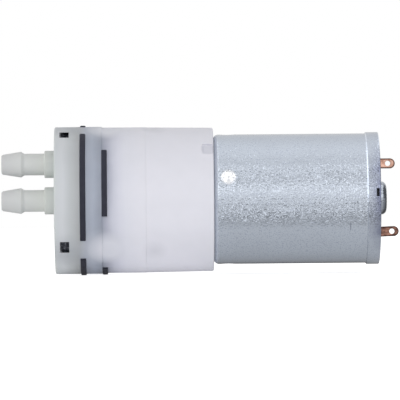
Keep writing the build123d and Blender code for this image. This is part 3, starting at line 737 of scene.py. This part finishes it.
class PUMP_OT_cover(bpy.types.Operator):
    """Front cover with its two hose barbs and three screw windows"""

    bl_idname = "pump.cover"
    bl_label = "Front cover"

    def execute(self, context):
        edge = context.scene.pump_head.edge_round / MM
        joint = context.scene.pump_head.joint_round / MM
        cover = turned(
            (1.6, 1.25, 0), (-BARB_LENGTH, 1.25, 0.1),
            *barb_corners([(0, 2.74, 0)]),
            (0, 13.85, edge), (COVER_BACK, 13.85, joint),
            (COVER_BACK, 8.25, 0), (1.6, 8.25, 0.3), (1.6, 5.7, 0.3), (COVER_BACK, 5.7, 0),
            (COVER_BACK, 4.9, 0), (1.6, 4.9, 0.3),
        )
        side_barb = turned(
            (-BARB_LENGTH, 0, 0), *barb_corners([(0.12, 2.86, 0)]), (1.0, 2.86, 0), (1.0, 0, 0),
            away=6.975, angle=80, facets=96, closed=False,
        )
        cover = combined(cover, [side_barb], "UNION")
        tools = [rod(-BARB_LENGTH - 0.5, 1.9, 1.25, 6.975, 80)]
        for angle in CHAMBER_ANGLES:
            tools.append(rod(1.61, COVER_BACK + 0.5, 1.8, CHAMBER_CIRCLE, angle))
        for angle, start, side in WINDOWS:
            pocket = turned(
                (-0.5, 0, 0), (-0.5, 2.3, 0), (0, 2.3, 0), (0.1, 2.2, 0), (2.75, 2.2, 0),
                (2.75, 1.1, 0), (COVER_BACK + 0.5, 1.1, 0), (COVER_BACK + 0.5, 0, 0),
                away=SCREW_CIRCLE, angle=angle, facets=FINE_FACETS, closed=False,
            )
            tools.append(combined(pocket, [window(angle, start, side)], "UNION"))
        cover = combined(cover, tools)
        finished(
            "cover_moulding", cover, "housing", ["front_cover"],
            material_of("natural_nylon", context),
        )
        return {"FINISHED"}


class PUMP_OT_gasket(bpy.types.Operator):
    """Rubber gasket behind the cover, its rim bulging between the screws"""

    bl_idname = "pump.gasket"
    bl_label = "Cover gasket"

    def execute(self, context):
        edge = context.scene.pump_head.rubber_round / MM
        sheet = turned(
            (COVER_BACK, 4.9, 0), (COVER_BACK, 14.096, edge), (GASKET_BACK, 14.096, edge),
            (GASKET_BACK, 4.9, 0),
        )
        low = COVER_BACK - 0.5
        high = GASKET_BACK + 0.5
        tools = []
        for angle in CHAMBER_ANGLES:
            tools.append(sector(low, high, 5.7, 8.25, angle - 51, angle + 51))
            tools.append(rod(low, high, 1.8, CHAMBER_CIRCLE, angle))
        for first, last in PADS:
            tools.append(sector(low, high, 9.0, 15.0, first, last))
        sheet = combined(sheet, tools)
        finished(
            "gasket_sheet", sheet, "housing", ["cover_gasket"],
            material_of("black_rubber", context),
        )
        return {"FINISHED"}


class PUMP_OT_valve_plate(bpy.types.Operator):
    """Valve plate with its air holes and the three pads that meet the cover"""

    bl_idname = "pump.valve_plate"
    bl_label = "Valve plate"

    def execute(self, context):
        edge = context.scene.pump_head.joint_round / MM
        plate = turned(
            (GASKET_BACK, 0, 0), (GASKET_BACK, 13.85, edge), (PLATE_BACK, 13.85, edge),
            (PLATE_BACK, 0, 0), closed=False,
        )
        pads = [sector(COVER_BACK, GASKET_BACK + 0.5, 9.0, 13.85, first, last) for first, last in PADS]
        plate = combined(plate, pads, "UNION")
        low = COVER_BACK - 0.5
        high = PLATE_BACK + 0.5
        tools = [rod(low, high, 0.8)]
        for angle in SCREW_ANGLES:
            tools.append(rod(low, high, 1.1, SCREW_CIRCLE, angle))
        for angle in CHAMBER_ANGLES:
            tools.append(rod(PLATE_BACK - 0.8, high, 2.7, CHAMBER_CIRCLE, angle))
            tools.append(rod(low, high, 0.8, CHAMBER_CIRCLE, angle))
            for side in (-20, 20):
                tools.append(rod(low, high, 0.45, 3.45, angle + side, 24))
            for turn in range(4):
                hole = rod(low, high, 0.45, 1.35, angle + 90 * turn, 24)
                away = placed(angle, CHAMBER_CIRCLE) @ placed(-angle)
                bmesh.ops.transform(hole, matrix=away, verts=hole.verts)
                tools.append(hole)
        plate = combined(plate, tools)
        finished(
            "valve_plate_moulding", plate, "housing", ["valve_plate"],
            material_of("natural_nylon", context),
        )
        return {"FINISHED"}


class PUMP_OT_valves(bpy.types.Operator):
    """Three rubber umbrella valves and the disc valve in the middle"""

    bl_idname = "pump.valves"
    bl_label = "Rubber valves"

    def execute(self, context):
        cap = PLATE_BACK - 0.8
        umbrellas = [
            turned(
                (cap + 0.5, 0, 0), (cap + 0.5, 1.2, 0.3), (cap + 0.3, 2.3, 0.1), (cap, 2.3, 0.05),
                (cap + 0.12, 1.5, 0.2), (cap, 0.75, 0.05), (GASKET_BACK, 0.75, 0.05),
                (GASKET_BACK, 1.05, 0.1), (GASKET_BACK - 0.8, 0.6, 0.15), (GASKET_BACK - 0.8, 0, 0),
                away=CHAMBER_CIRCLE, angle=angle, facets=FINE_FACETS, closed=False,
            )
            for angle in CHAMBER_ANGLES
        ]
        finished(
            "umbrella_valves", joined(*umbrellas), "housing", ["inlet_valves"],
            material_of("black_rubber", context),
        )
        disc = turned(
            (GASKET_BACK - 0.55, 0, 0), (GASKET_BACK - 0.55, 4.3, 0.12), (GASKET_BACK, 4.3, 0.1),
            (GASKET_BACK, 0.75, 0), (PLATE_BACK, 0.75, 0), (PLATE_BACK, 1.05, 0.1),
            (PLATE_BACK + 0.8, 0.6, 0.15), (PLATE_BACK + 0.8, 0, 0), facets=96, closed=False,
        )
        finished(
            "disc_valve", disc, "housing", ["outlet_valve"],
            material_of("black_rubber", context),
        )
        return {"FINISHED"}


class PUMP_OT_diaphragm(bpy.types.Operator):
    """Diaphragm: its sheet stays in the housing and its cups move with the wobble plate"""

    bl_idname = "pump.diaphragm"
    bl_label = "Diaphragm"

    def execute(self, context):
        split = 13.2
        edge = context.scene.pump_head.rubber_round / MM
        for name, body, keep_front in (
            ("diaphragm_sheet", "housing", True),
            ("diaphragm_cups", "wobble", False),
        ):
            bm = bmesh.new()
            bm.from_mesh(frame["nodes"]["diaphragm"].data)
            bmesh.ops.remove_doubles(bm, verts=bm.verts, dist=1e-7)
            bmesh.ops.scale(bm, vec=(1 / MM, 1 / MM, 1 / MM), verts=bm.verts)
            bmesh.ops.dissolve_limit(
                bm, angle_limit=radians(0.5), verts=bm.verts, edges=bm.edges
            )
            rims = [
                line for line in bm.edges
                if all(hypot(vert.co.y, vert.co.z) > 13.95 for vert in line.verts)
                and abs(line.verts[0].co.x - line.verts[1].co.x) < 0.001
            ]
            bmesh.ops.bevel(
                bm, geom=rims, offset=0.8 * edge, offset_type="OFFSET", segments=3,
                profile=0.5, affect="EDGES", material=-1,
            )
            bmesh.ops.bisect_plane(
                bm, geom=bm.verts[:] + bm.edges[:] + bm.faces[:], dist=0.0001,
                plane_co=(x_of(split), 0, 0), plane_no=(1, 0, 0),
                clear_outer=keep_front, clear_inner=not keep_front,
            )
            rims = [edge for edge in bm.edges if edge.is_boundary]
            fill = bmesh.ops.triangle_fill(bm, use_beauty=True, edges=rims)
            if not fill["geom"]:
                raise RuntimeError("the diaphragm's cut was not closed")
            bmesh.ops.recalc_face_normals(bm, faces=bm.faces)
            nodes = ["diaphragm"] if keep_front else []
            finished(
                name, bm, body, nodes, material_of("black_rubber", context)
            )
        return {"FINISHED"}


class PUMP_OT_cylinder(bpy.types.Operator):
    """Cylinder body with three bores and seats for the diaphragm's tabs"""

    bl_idname = "pump.cylinder"
    bl_label = "Cylinder body"

    def execute(self, context):
        edge = context.scene.pump_head.joint_round / MM
        body = turned(
            (PLATE_BACK, 0, 0), (PLATE_BACK, 13.7, edge), (CYLINDER_BACK, 13.7, edge),
            (CYLINDER_BACK, 9.4, 0), (13.05, 9.4, 0), (13.05, 0, 0), closed=False,
        )
        low = PLATE_BACK - 0.5
        tools = [rod(low, SHEET_BACK, 8.9, facets=96)]
        for first, last in TABS:
            tools.append(sector(low, SHEET_BACK, 8.0, 14.5, first, last))
        for angle in CHAMBER_ANGLES:
            tools.append(rod(low, SHEET_BACK, 5.4, CHAMBER_CIRCLE, angle))
            tools.append(rod(low, CYLINDER_BACK + 0.5, 4.75, CHAMBER_CIRCLE, angle))
        for angle in SCREW_ANGLES:
            tools.append(rod(low, CYLINDER_BACK + 0.5, 1.1, SCREW_CIRCLE, angle))
        body = combined(body, tools)
        finished(
            "cylinder_moulding", body, "housing", ["cylinder_body"],
            material_of("natural_nylon", context),
        )
        return {"FINISHED"}


class PUMP_OT_bracket(bpy.types.Operator):
    """Motor bracket with its screw columns and the key recess"""

    bl_idname = "pump.bracket"
    bl_label = "Motor bracket"

    def execute(self, context):
        head = context.scene.pump_head
        edge = head.edge_round / MM
        joint = head.joint_round / MM
        floor = BRACKET_BACK - 2.0
        shell = turned(
            (CYLINDER_BACK, 11.82, 0), (CYLINDER_BACK, 13.67, joint), (BRACKET_BACK, 13.5, edge),
            (BRACKET_BACK, 3.075, 0), (floor, 3.075, 0), (floor, 11.82, 0.4),
        )
        columns = []
        for angle in SCREW_ANGLES:
            column = rod(CYLINDER_BACK, floor + 0.5, 2.0, SCREW_CIRCLE, angle)
            web = slab(CYLINDER_BACK, floor + 0.5, SCREW_CIRCLE, 12.6, 4.0, angle)
            columns.append(combined(column, [web], "UNION"))
        shell = combined(shell, columns, "UNION")
        tools = []
        for angle in SCREW_ANGLES:
            tools.append(rod(CYLINDER_BACK - 0.5, CYLINDER_BACK + 3.7, 1.0, SCREW_CIRCLE, angle))
        for angle in (14, 194):
            tools.append(rod(floor - 0.5, BRACKET_BACK + 0.5, 1.1, 8.5, angle))
        deep = 13.5 - head.recess_depth / MM
        tools.append(slab(BRACKET_BACK - 2.1, BRACKET_BACK - 0.15, deep, 14.5, 2.6, 135.4))
        shell = combined(shell, tools)
        finished(
            "bracket_moulding", shell, "housing", ["motor_bracket"],
            material_of("natural_nylon", context),
        )
        return {"FINISHED"}


class PUMP_OT_screws(bpy.types.Operator):
    """Three black pan head screws and the washers under them"""

    bl_idname = "pump.screws"
    bl_label = "Clamp screws"

    def execute(self, context):
        screws = []
        washers = []
        for angle in SCREW_ANGLES:
            screw = turned(
                (1.0, 0, 0), (1.0, 1.55, 0.1), (1.35, 2.0, 0.3), (2.35, 2.1, 0.16), (2.35, 1.0, 0),
                (19.5, 1.0, 0), (19.8, 0.7, 0), (19.8, 0, 0),
                facets=FINE_FACETS, closed=False,
            )
            arms = [slab(0.5, 1.85, -1.25, 1.25, 0.5, turn) for turn in (0, 90)]
            cross = combined(arms[0], arms[1:], "UNION")
            screw = combined(screw, [cross])
            bmesh.ops.transform(screw, matrix=placed(angle, SCREW_CIRCLE), verts=screw.verts)
            screws.append(screw)
            washers.append(turned(
                (2.35, 1.0, 0), (2.35, 2.1, 0.12), (2.75, 2.1, 0.12), (2.75, 1.0, 0),
                away=SCREW_CIRCLE, angle=angle, facets=FINE_FACETS,
            ))
        finish = material_of("black_oxide_steel", context)
        finished(
            "clamp_screws", joined(*screws), "housing",
            ["assembly_screws"], finish,
        )
        finished(
            "clamp_washers", joined(*washers), "housing",
            ["screw_washers"], finish,
        )
        return {"FINISHED"}


class PUMP_OT_can(bpy.types.Operator):
    """Drawn motor can with soft dimples and a crimped, widened rear band"""

    bl_idname = "pump.can"
    bl_label = "Motor can"

    def execute(self, context):
        motor = context.scene.pump_motor
        corner = motor.corner_round / MM
        depth = motor.dimple_depth / MM
        first_ring = BRACKET_BACK + 1.3
        rings = [(first_ring + 0.15 * step, 12.2, 0) for step in range(21)]
        can = turned(
            (BRACKET_BACK - 1.6, 1.3, 0.2), (BRACKET_BACK - 1.6, 3.075, 0.25),
            (BRACKET_BACK, 3.075, 0), (BRACKET_BACK, 12.2, corner), *rings,
            (BAND_FRONT + 0.1, 12.2, 0.08), (BAND_FRONT + 0.22, 12.435, 0.08),
            (CAN_BACK, 12.435, 0.15), (CAN_BACK, 11.535, 0), (CAN_BACK - 1, 11.535, 0),
            (CAN_BACK - 1, 11.3, 0), (BRACKET_BACK + 0.9, 11.3, 0.4),
            (BRACKET_BACK + 0.9, 2.3, 0), (BRACKET_BACK - 1.2, 2.3, 0),
            (BRACKET_BACK - 1.2, 1.3, 0), facets=384,
        )
        for vert in can.verts:
            radius = hypot(vert.co.y, vert.co.z)
            if radius < 12.1:
                continue
            turn = atan2(vert.co.z, vert.co.y)
            for angle in DIMPLES:
                around = (turn - radians(angle) + pi) % tau - pi
                away = hypot(vert.co.x - x_of(BRACKET_BACK + 2.7), 12.2 * around)
                if away < 1.45:
                    sunk = depth * (0.5 + 0.5 * cos(pi * away / 1.45))
                    vert.co.y *= (radius - sunk) / radius
                    vert.co.z *= (radius - sunk) / radius
        slots = [slab(CAN_BACK - 0.85, CAN_BACK - 0.3, 11.4, 13, 1.5, angle) for angle in (175, 355)]
        holes = [rod(BRACKET_BACK - 0.5, BRACKET_BACK + 1.5, 1.0, 8.5, angle) for angle in (14, 194)]
        can = combined(can, slots + holes)
        finished(
            "can_shell", can, "housing", ["motor_can"],
            material_of("zinc_steel", context), sharp=35,
        )
        return {"FINISHED"}


class PUMP_OT_rear(bpy.types.Operator):
    """Rear plate with the closed bearing boss"""

    bl_idname = "pump.rear"
    bl_label = "Rear plate"

    def execute(self, context):
        front = CAN_BACK - 1
        plate = turned(
            (front, 2.3, 0), (front, 11.535, 0), (CAN_BACK, 11.535, 0.1),
            (CAN_BACK, 3.125, 0.25), (BOSS_BACK, 3.125, 1.0), (BOSS_BACK, 0, 0),
            (BOSS_BACK - 0.5, 0, 0), (BOSS_BACK - 0.5, 2.3, 0), closed=False,
        )
        wall = [vert for vert in plate.verts if vert.co.x < x_of(front) + 0.01]
        if not wall:
            raise RuntimeError("the rear plate has no front face")
        windows = [
            slab(front - 0.5, CAN_BACK + 0.5, 6.5 - 1.45, 6.5 + 1.45, 1.3, angle)
            for angle in (90, 270)
        ]
        notches = [slab(front - 0.1, CAN_BACK - 0.3, 10.94, 12, 1.5, angle) for angle in (175, 355)]
        inner = [
            edge for edge in plate.edges
            if all(abs(hypot(vert.co.y, vert.co.z) - 2.3) < 0.01 for vert in edge.verts)
            and edge.is_boundary
        ]
        bmesh.ops.bridge_loops(plate, edges=inner)
        plate = combined(plate, windows + notches)
        finished(
            "rear_plate", plate, "housing", ["end_plate"],
            material_of("zinc_steel", context),
        )
        return {"FINISHED"}


def tag(length, side, lean, hole_at, edge):
    """Flat solder tag with a round end and a hole, standing behind the motor."""
    bm = bmesh.new()
    front = CAN_BACK - 3.6
    back = CAN_BACK + length
    half = TAG_HALF_WIDTH
    corners = [(front, -half), (back, -half), (back, half), (front, half)]
    points = [bm.verts.new((x_of(station), 0, height)) for station, height in corners]
    for first, second in zip(points, points[1:] + points[:1]):
        bm.edges.new((first, second))
    bmesh.ops.bevel(
        bm, geom=points[1:3], offset=0.945, offset_type="OFFSET", segments=16, profile=0.5,
        affect="VERTICES", material=-1,
    )
    hole = bmesh.ops.create_circle(bm, cap_ends=False, radius=0.5, segments=32)["verts"]
    at_hole = Matrix.Translation((x_of(CAN_BACK + hole_at), 0, 0)) @ Matrix.Rotation(pi / 2, 4, "X")
    bmesh.ops.transform(bm, matrix=at_hole, verts=hole)
    bmesh.ops.triangle_fill(bm, use_beauty=True, edges=bm.edges[:], normal=(0, 1, 0))
    made = bmesh.ops.extrude_face_region(bm, geom=bm.faces[:])
    raised_verts = [part for part in made["geom"] if isinstance(part, bmesh.types.BMVert)]
    bmesh.ops.translate(bm, vec=(0, 0.3, 0), verts=raised_verts)
    bmesh.ops.translate(bm, vec=(0, -0.15, side * TAG_HEIGHT), verts=bm.verts)
    bmesh.ops.recalc_face_normals(bm, faces=bm.faces)
    rims = [part for part in bm.edges if part.calc_face_angle(0) > radians(60)]
    bmesh.ops.bevel(
        bm, geom=rims, offset=edge, offset_type="OFFSET", segments=2, profile=0.5,
        affect="EDGES", material=-1,
    )
    outside = [vert for vert in bm.verts if vert.co.x > x_of(CAN_BACK)]
    bmesh.ops.rotate(
        bm, cent=(x_of(CAN_BACK), 0, side * TAG_HEIGHT), matrix=Matrix.Rotation(-radians(lean), 3, "Y"),
        verts=outside,
    )
    return bm


class PUMP_OT_tags(bpy.types.Operator):
    """Two copper solder tags, the lower one longer, bent and tarnished"""

    bl_idname = "pump.tags"
    bl_label = "Solder tags"

    def execute(self, context):
        edge = context.scene.pump_motor.tag_edge / MM
        finished(
            "tag_upper", tag(*UPPER_TAG, 1.85, edge), "housing", ["upper_tag"],
            material_of("bare_copper", context),
        )
        finished(
            "tag_lower", tag(*LOWER_TAG, 2.55, edge), "housing",
            ["lower_tag"], material_of("tarnished_copper", context),
        )
        return {"FINISHED"}


class PUMP_OT_inside(bpy.types.Operator):
    """Finishes for the inner parts that keep their own shape"""

    bl_idname = "pump.inside"
    bl_label = "Inner parts"

    def execute(self, context):
        slots = {}
        for row in frame["record"]["materials"]:
            for node in row.get("nodes", []):
                slots[node] = row["slot"]
        for name, node in frame["nodes"].items():
            if node.hide_render:
                continue
            slot = slots.get(name) or node.material_slots[0].material.name
            for place in node.material_slots:
                place.material = material_of(slot.split(".")[0], context)
        return {"FINISHED"}


# What polished metal mirrors: soft panels round the pump, by their angle from the front
# over the top and by how far they lie to its sides (0.5 is neutral), and how much the floor
# is lifted, by its distance in front of the pump's axis in millimetres. Where they alternate, the
# plating's orange peel shows as speckles.
SOFT_PANELS = (
    (-180, 0.62), (-60, 0.60), (-6, 0.50), (-2, 0.76), (3, 0.76), (8, 0.58), (13, 0.86), (23, 0.86),
    (31, 0.38), (38, 1.0), (45, 0.38), (53, 0.92), (62, 0.64), (74, 0.68), (90, 0.76),
    (105, 0.73), (120, 0.68), (140, 0.6), (180, 0.52),
)
SIDE_PANELS = (
    (-1.0, 1.15), (-0.62, 1.15), (-0.5, 0.68), (-0.22, 0.68), (-0.14, 0.5), (0.14, 0.5),
    (0.22, 0.74), (0.55, 0.74), (0.62, 0.2), (1.0, 0.15),
)
FLOOR_LIFT = (
    (-20, 0.0), (-8, 0.0), (0, 0.29), (6, 0.40), (12, 0.44), (17, 0.46), (20, 0.43), (22, 0.22),
    (23.5, 0.13), (25.5, 0.95), (28, 0.15), (32, 0.11), (36, 0.95), (40, 0.95), (45, 0.09), (52, 0.09),
    (58, 1.0), (76, 1.0), (84, 0.15), (120, 0.15), (135, 0.72), (200, 0.66),
)


def shade_stops(ramp, stops):
    """Gives a ramp grey stops of linear values."""
    while len(ramp.elements) > 1:
        ramp.elements.remove(ramp.elements[-1])
    ramp.elements[0].position = stops[0][0]
    ramp.elements[0].color = (stops[0][1],) * 3 + (1,)
    for position, value in stops[1:]:
        ramp.elements.new(position).color = (value,) * 3 + (1,)


class PUMP_OT_stage(bpy.types.Operator):
    """Camera, soft light, white room and floor"""

    bl_idname = "pump.stage"
    bl_label = "Stage"

    def execute(self, context):
        scene = context.scene
        stage = scene.pump_stage
        scene.view_settings.view_transform = "Standard"

        camera_data = bpy.data.cameras.new("photo_camera")
        camera_data.sensor_width = 36
        camera_data.lens = 420
        camera_data.clip_start = 0.05
        camera_data.clip_end = 20
        camera = bpy.data.objects.new("photo_camera", camera_data)
        scene.collection.objects.link(camera)
        stand = Vector((-27.65, -880, -0.1)) * MM
        aim = Vector((-17.35, 0, -0.1)) * MM
        look = (aim - stand).normalized()
        roll = radians(0.5)
        up = Vector((sin(roll), 0, cos(roll)))
        right = look.cross(up).normalized()
        above = right.cross(look)
        turn = Matrix((right, above, -look)).transposed().to_4x4()
        camera.matrix_world = Matrix.Translation(stand) @ turn
        scene.camera = camera

        lamp_data = bpy.data.lights.new("front_softbox", "AREA")
        lamp_data.shape = "RECTANGLE"
        lamp_data.size = 3.2
        lamp_data.size_y = 2.4
        lamp_data.energy = stage.front_light
        lamp = bpy.data.objects.new("front_softbox", lamp_data)
        scene.collection.objects.link(lamp)
        lamp.location = (-0.1, -1.75, 0.5)
        lamp.rotation_euler = (-lamp.location).to_track_quat("-Z", "Y").to_euler()
        lamp.visible_camera = False
        lamp.visible_glossy = False

        world = bpy.data.worlds.new("white_room")
        scene.world = world
        world.use_nodes = True
        tree = world.node_tree
        tree.nodes.clear()
        path = add_node(tree, "ShaderNodeLightPath")
        seen = add_node(
            tree, "ShaderNodeMath",
            {0: path.outputs["Is Camera Ray"], 1: path.outputs["Is Glossy Ray"]},
            operation="MAXIMUM",
        ).outputs[0]
        seen = add_node(
            tree, "ShaderNodeMath", {0: seen, 1: path.outputs["Is Transmission Ray"]},
            operation="MAXIMUM",
        ).outputs[0]
        strength = spread(tree, seen, 0, 1, stage.room_light, 1.0)
        direction = add_node(tree, "ShaderNodeTexCoord").outputs["Generated"]
        parts = add_node(tree, "ShaderNodeSeparateXYZ", {"Vector": direction}).outputs
        ahead = add_node(
            tree, "ShaderNodeMath", {0: parts["Y"], 1: -1.0}, operation="MULTIPLY"
        ).outputs[0]
        around = add_node(
            tree, "ShaderNodeMath", {0: parts["Z"], 1: ahead}, operation="ARCTAN2"
        ).outputs[0]
        turn = spread(tree, around, -pi, pi)
        panels = add_node(tree, "ShaderNodeValToRGB", {"Fac": turn})
        shade_stops(panels.color_ramp, [((angle + 180) / 360, v) for angle, v in SOFT_PANELS])
        sides = add_node(tree, "ShaderNodeValToRGB", {"Fac": spread(tree, parts["X"], -1, 1)})
        shade_stops(sides.color_ramp, [((away + 1) / 2, v) for away, v in SIDE_PANELS])
        lit = add_node(
            tree, "ShaderNodeMath", {0: panels.outputs["Color"], 1: sides.outputs["Color"]},
            operation="MULTIPLY",
        ).outputs[0]
        lit = spread(tree, lit, 0, 1, 0, 2.6)
        mirrored = add_node(
            tree, "ShaderNodeMath",
            {0: path.outputs["Is Glossy Ray"], 1: path.outputs["Is Camera Ray"]},
            operation="SUBTRACT", use_clamp=True,
        ).outputs[0]
        strength = add_node(
            tree, "ShaderNodeMix", {0: mirrored, 2: strength, 3: lit}, data_type="FLOAT"
        ).outputs[0]
        white = add_node(
            tree, "ShaderNodeBackground", {"Color": (1, 1, 1, 1), "Strength": strength}
        )
        add_node(tree, "ShaderNodeOutputWorld", {"Surface": white.outputs["Background"]})

        bm = bmesh.new()
        bmesh.ops.create_grid(bm, x_segments=1, y_segments=1, size=1.5)
        bmesh.ops.translate(bm, vec=(0, 0, CAD_LOW.z), verts=bm.verts)
        floor = as_object("floor", bm)
        floor.data.materials.append(self.floor_paint_and_glow())
        return {"FINISHED"}

    def floor_paint_and_glow(self):
        """White floor: matt paint, lifted to white where the camera sees it so it keeps only the shadow; it
        also glows as a light for the pump.
        """
        material, tree, shader, place = started("white_floor")
        shader.inputs["Roughness"].default_value = 0.9
        shader.inputs["Specular IOR Level"].default_value = 0.1
        path = add_node(tree, "ShaderNodeLightPath")
        # For glossy rays the floor is grey, so the metal mirrors it darker
        paint = blended(tree, path.outputs["Is Glossy Ray"], linear("#EDEDED"), linear("#999999"))
        tree.links.new(paint, shader.inputs["Base Color"])
        seen = add_node(
            tree, "ShaderNodeMath",
            {0: path.outputs["Is Camera Ray"], 1: path.outputs["Is Transmission Ray"]},
            operation="MAXIMUM",
        ).outputs[0]
        # Painted light: for glossy rays the floor glows in bands by its distance in front of the pump, for
        # the metal to mirror
        across = add_node(tree, "ShaderNodeSeparateXYZ", {"Vector": place}).outputs["Y"]
        far = add_node(tree, "ShaderNodeValToRGB", {"Fac": spread(tree, across, 0.02, -0.2)})
        shade_stops(far.color_ramp, [((away + 20) / 220, v) for away, v in FLOOR_LIFT])
        glossy = add_node(
            tree, "ShaderNodeMath", {0: path.outputs["Is Glossy Ray"], 1: far.outputs["Color"]},
            operation="MULTIPLY",
        ).outputs[0]
        # Painted light: for diffuse rays the floor glows evenly, a fill light from below
        diffuse = add_node(
            tree, "ShaderNodeMath", {0: path.outputs["Is Diffuse Ray"], 1: 0.28},
            operation="MULTIPLY",
        ).outputs[0]
        lift = add_node(
            tree, "ShaderNodeMath", {0: spread(tree, seen, 0, 1, 0, 0.7), 1: glossy},
            operation="MAXIMUM",
        ).outputs[0]
        lift = add_node(
            tree, "ShaderNodeMath", {0: lift, 1: diffuse}, operation="MAXIMUM"
        ).outputs[0]
        shader.inputs["Emission Color"].default_value = (1, 1, 1, 1)
        tree.links.new(lift, shader.inputs["Emission Strength"])
        return material


STEPS = (
    PUMP_OT_cover, PUMP_OT_gasket, PUMP_OT_valve_plate, PUMP_OT_valves, PUMP_OT_diaphragm,
    PUMP_OT_cylinder, PUMP_OT_bracket, PUMP_OT_screws, PUMP_OT_can, PUMP_OT_rear, PUMP_OT_tags,
    PUMP_OT_inside, PUMP_OT_stage,
)


class PUMP_PT_panel(bpy.types.Panel):
    """The pump's steps and settings in the sidebar."""

    bl_idname = "PUMP_PT_panel"
    bl_label = "Micro vacuum pump"
    bl_space_type = "VIEW_3D"
    bl_region_type = "UI"
    bl_category = "Pump"

    def draw(self, context):
        layout = self.layout
        for step in STEPS:
            layout.operator(step.bl_idname)
        for group in ("pump_head", "pump_motor", "pump_colours", "pump_stage"):
            settings = getattr(context.scene, group)
            for name in settings.bl_rna.properties.keys():
                if name not in ("rna_type", "name"):
                    layout.prop(settings, name)


CLASSES = (PumpHead, PumpMotor, PumpColours, PumpStage, *STEPS, PUMP_PT_panel)
GROUPS = {
    "pump_head": PumpHead,
    "pump_motor": PumpMotor,
    "pump_colours": PumpColours,
    "pump_stage": PumpStage,
}


def register():
    for kind in CLASSES:
        bpy.utils.register_class(kind)
    for name, group in GROUPS.items():
        setattr(bpy.types.Scene, name, bpy.props.PointerProperty(type=group))


def unregister():
    for name in GROUPS:
        delattr(bpy.types.Scene, name)
    for kind in reversed(CLASSES):
        bpy.utils.unregister_class(kind)


def main():
    register()
    for step in STEPS:
        area, name = step.bl_idname.split(".")
        getattr(getattr(bpy.ops, area), name)()


if __name__ == "__main__":
    main()
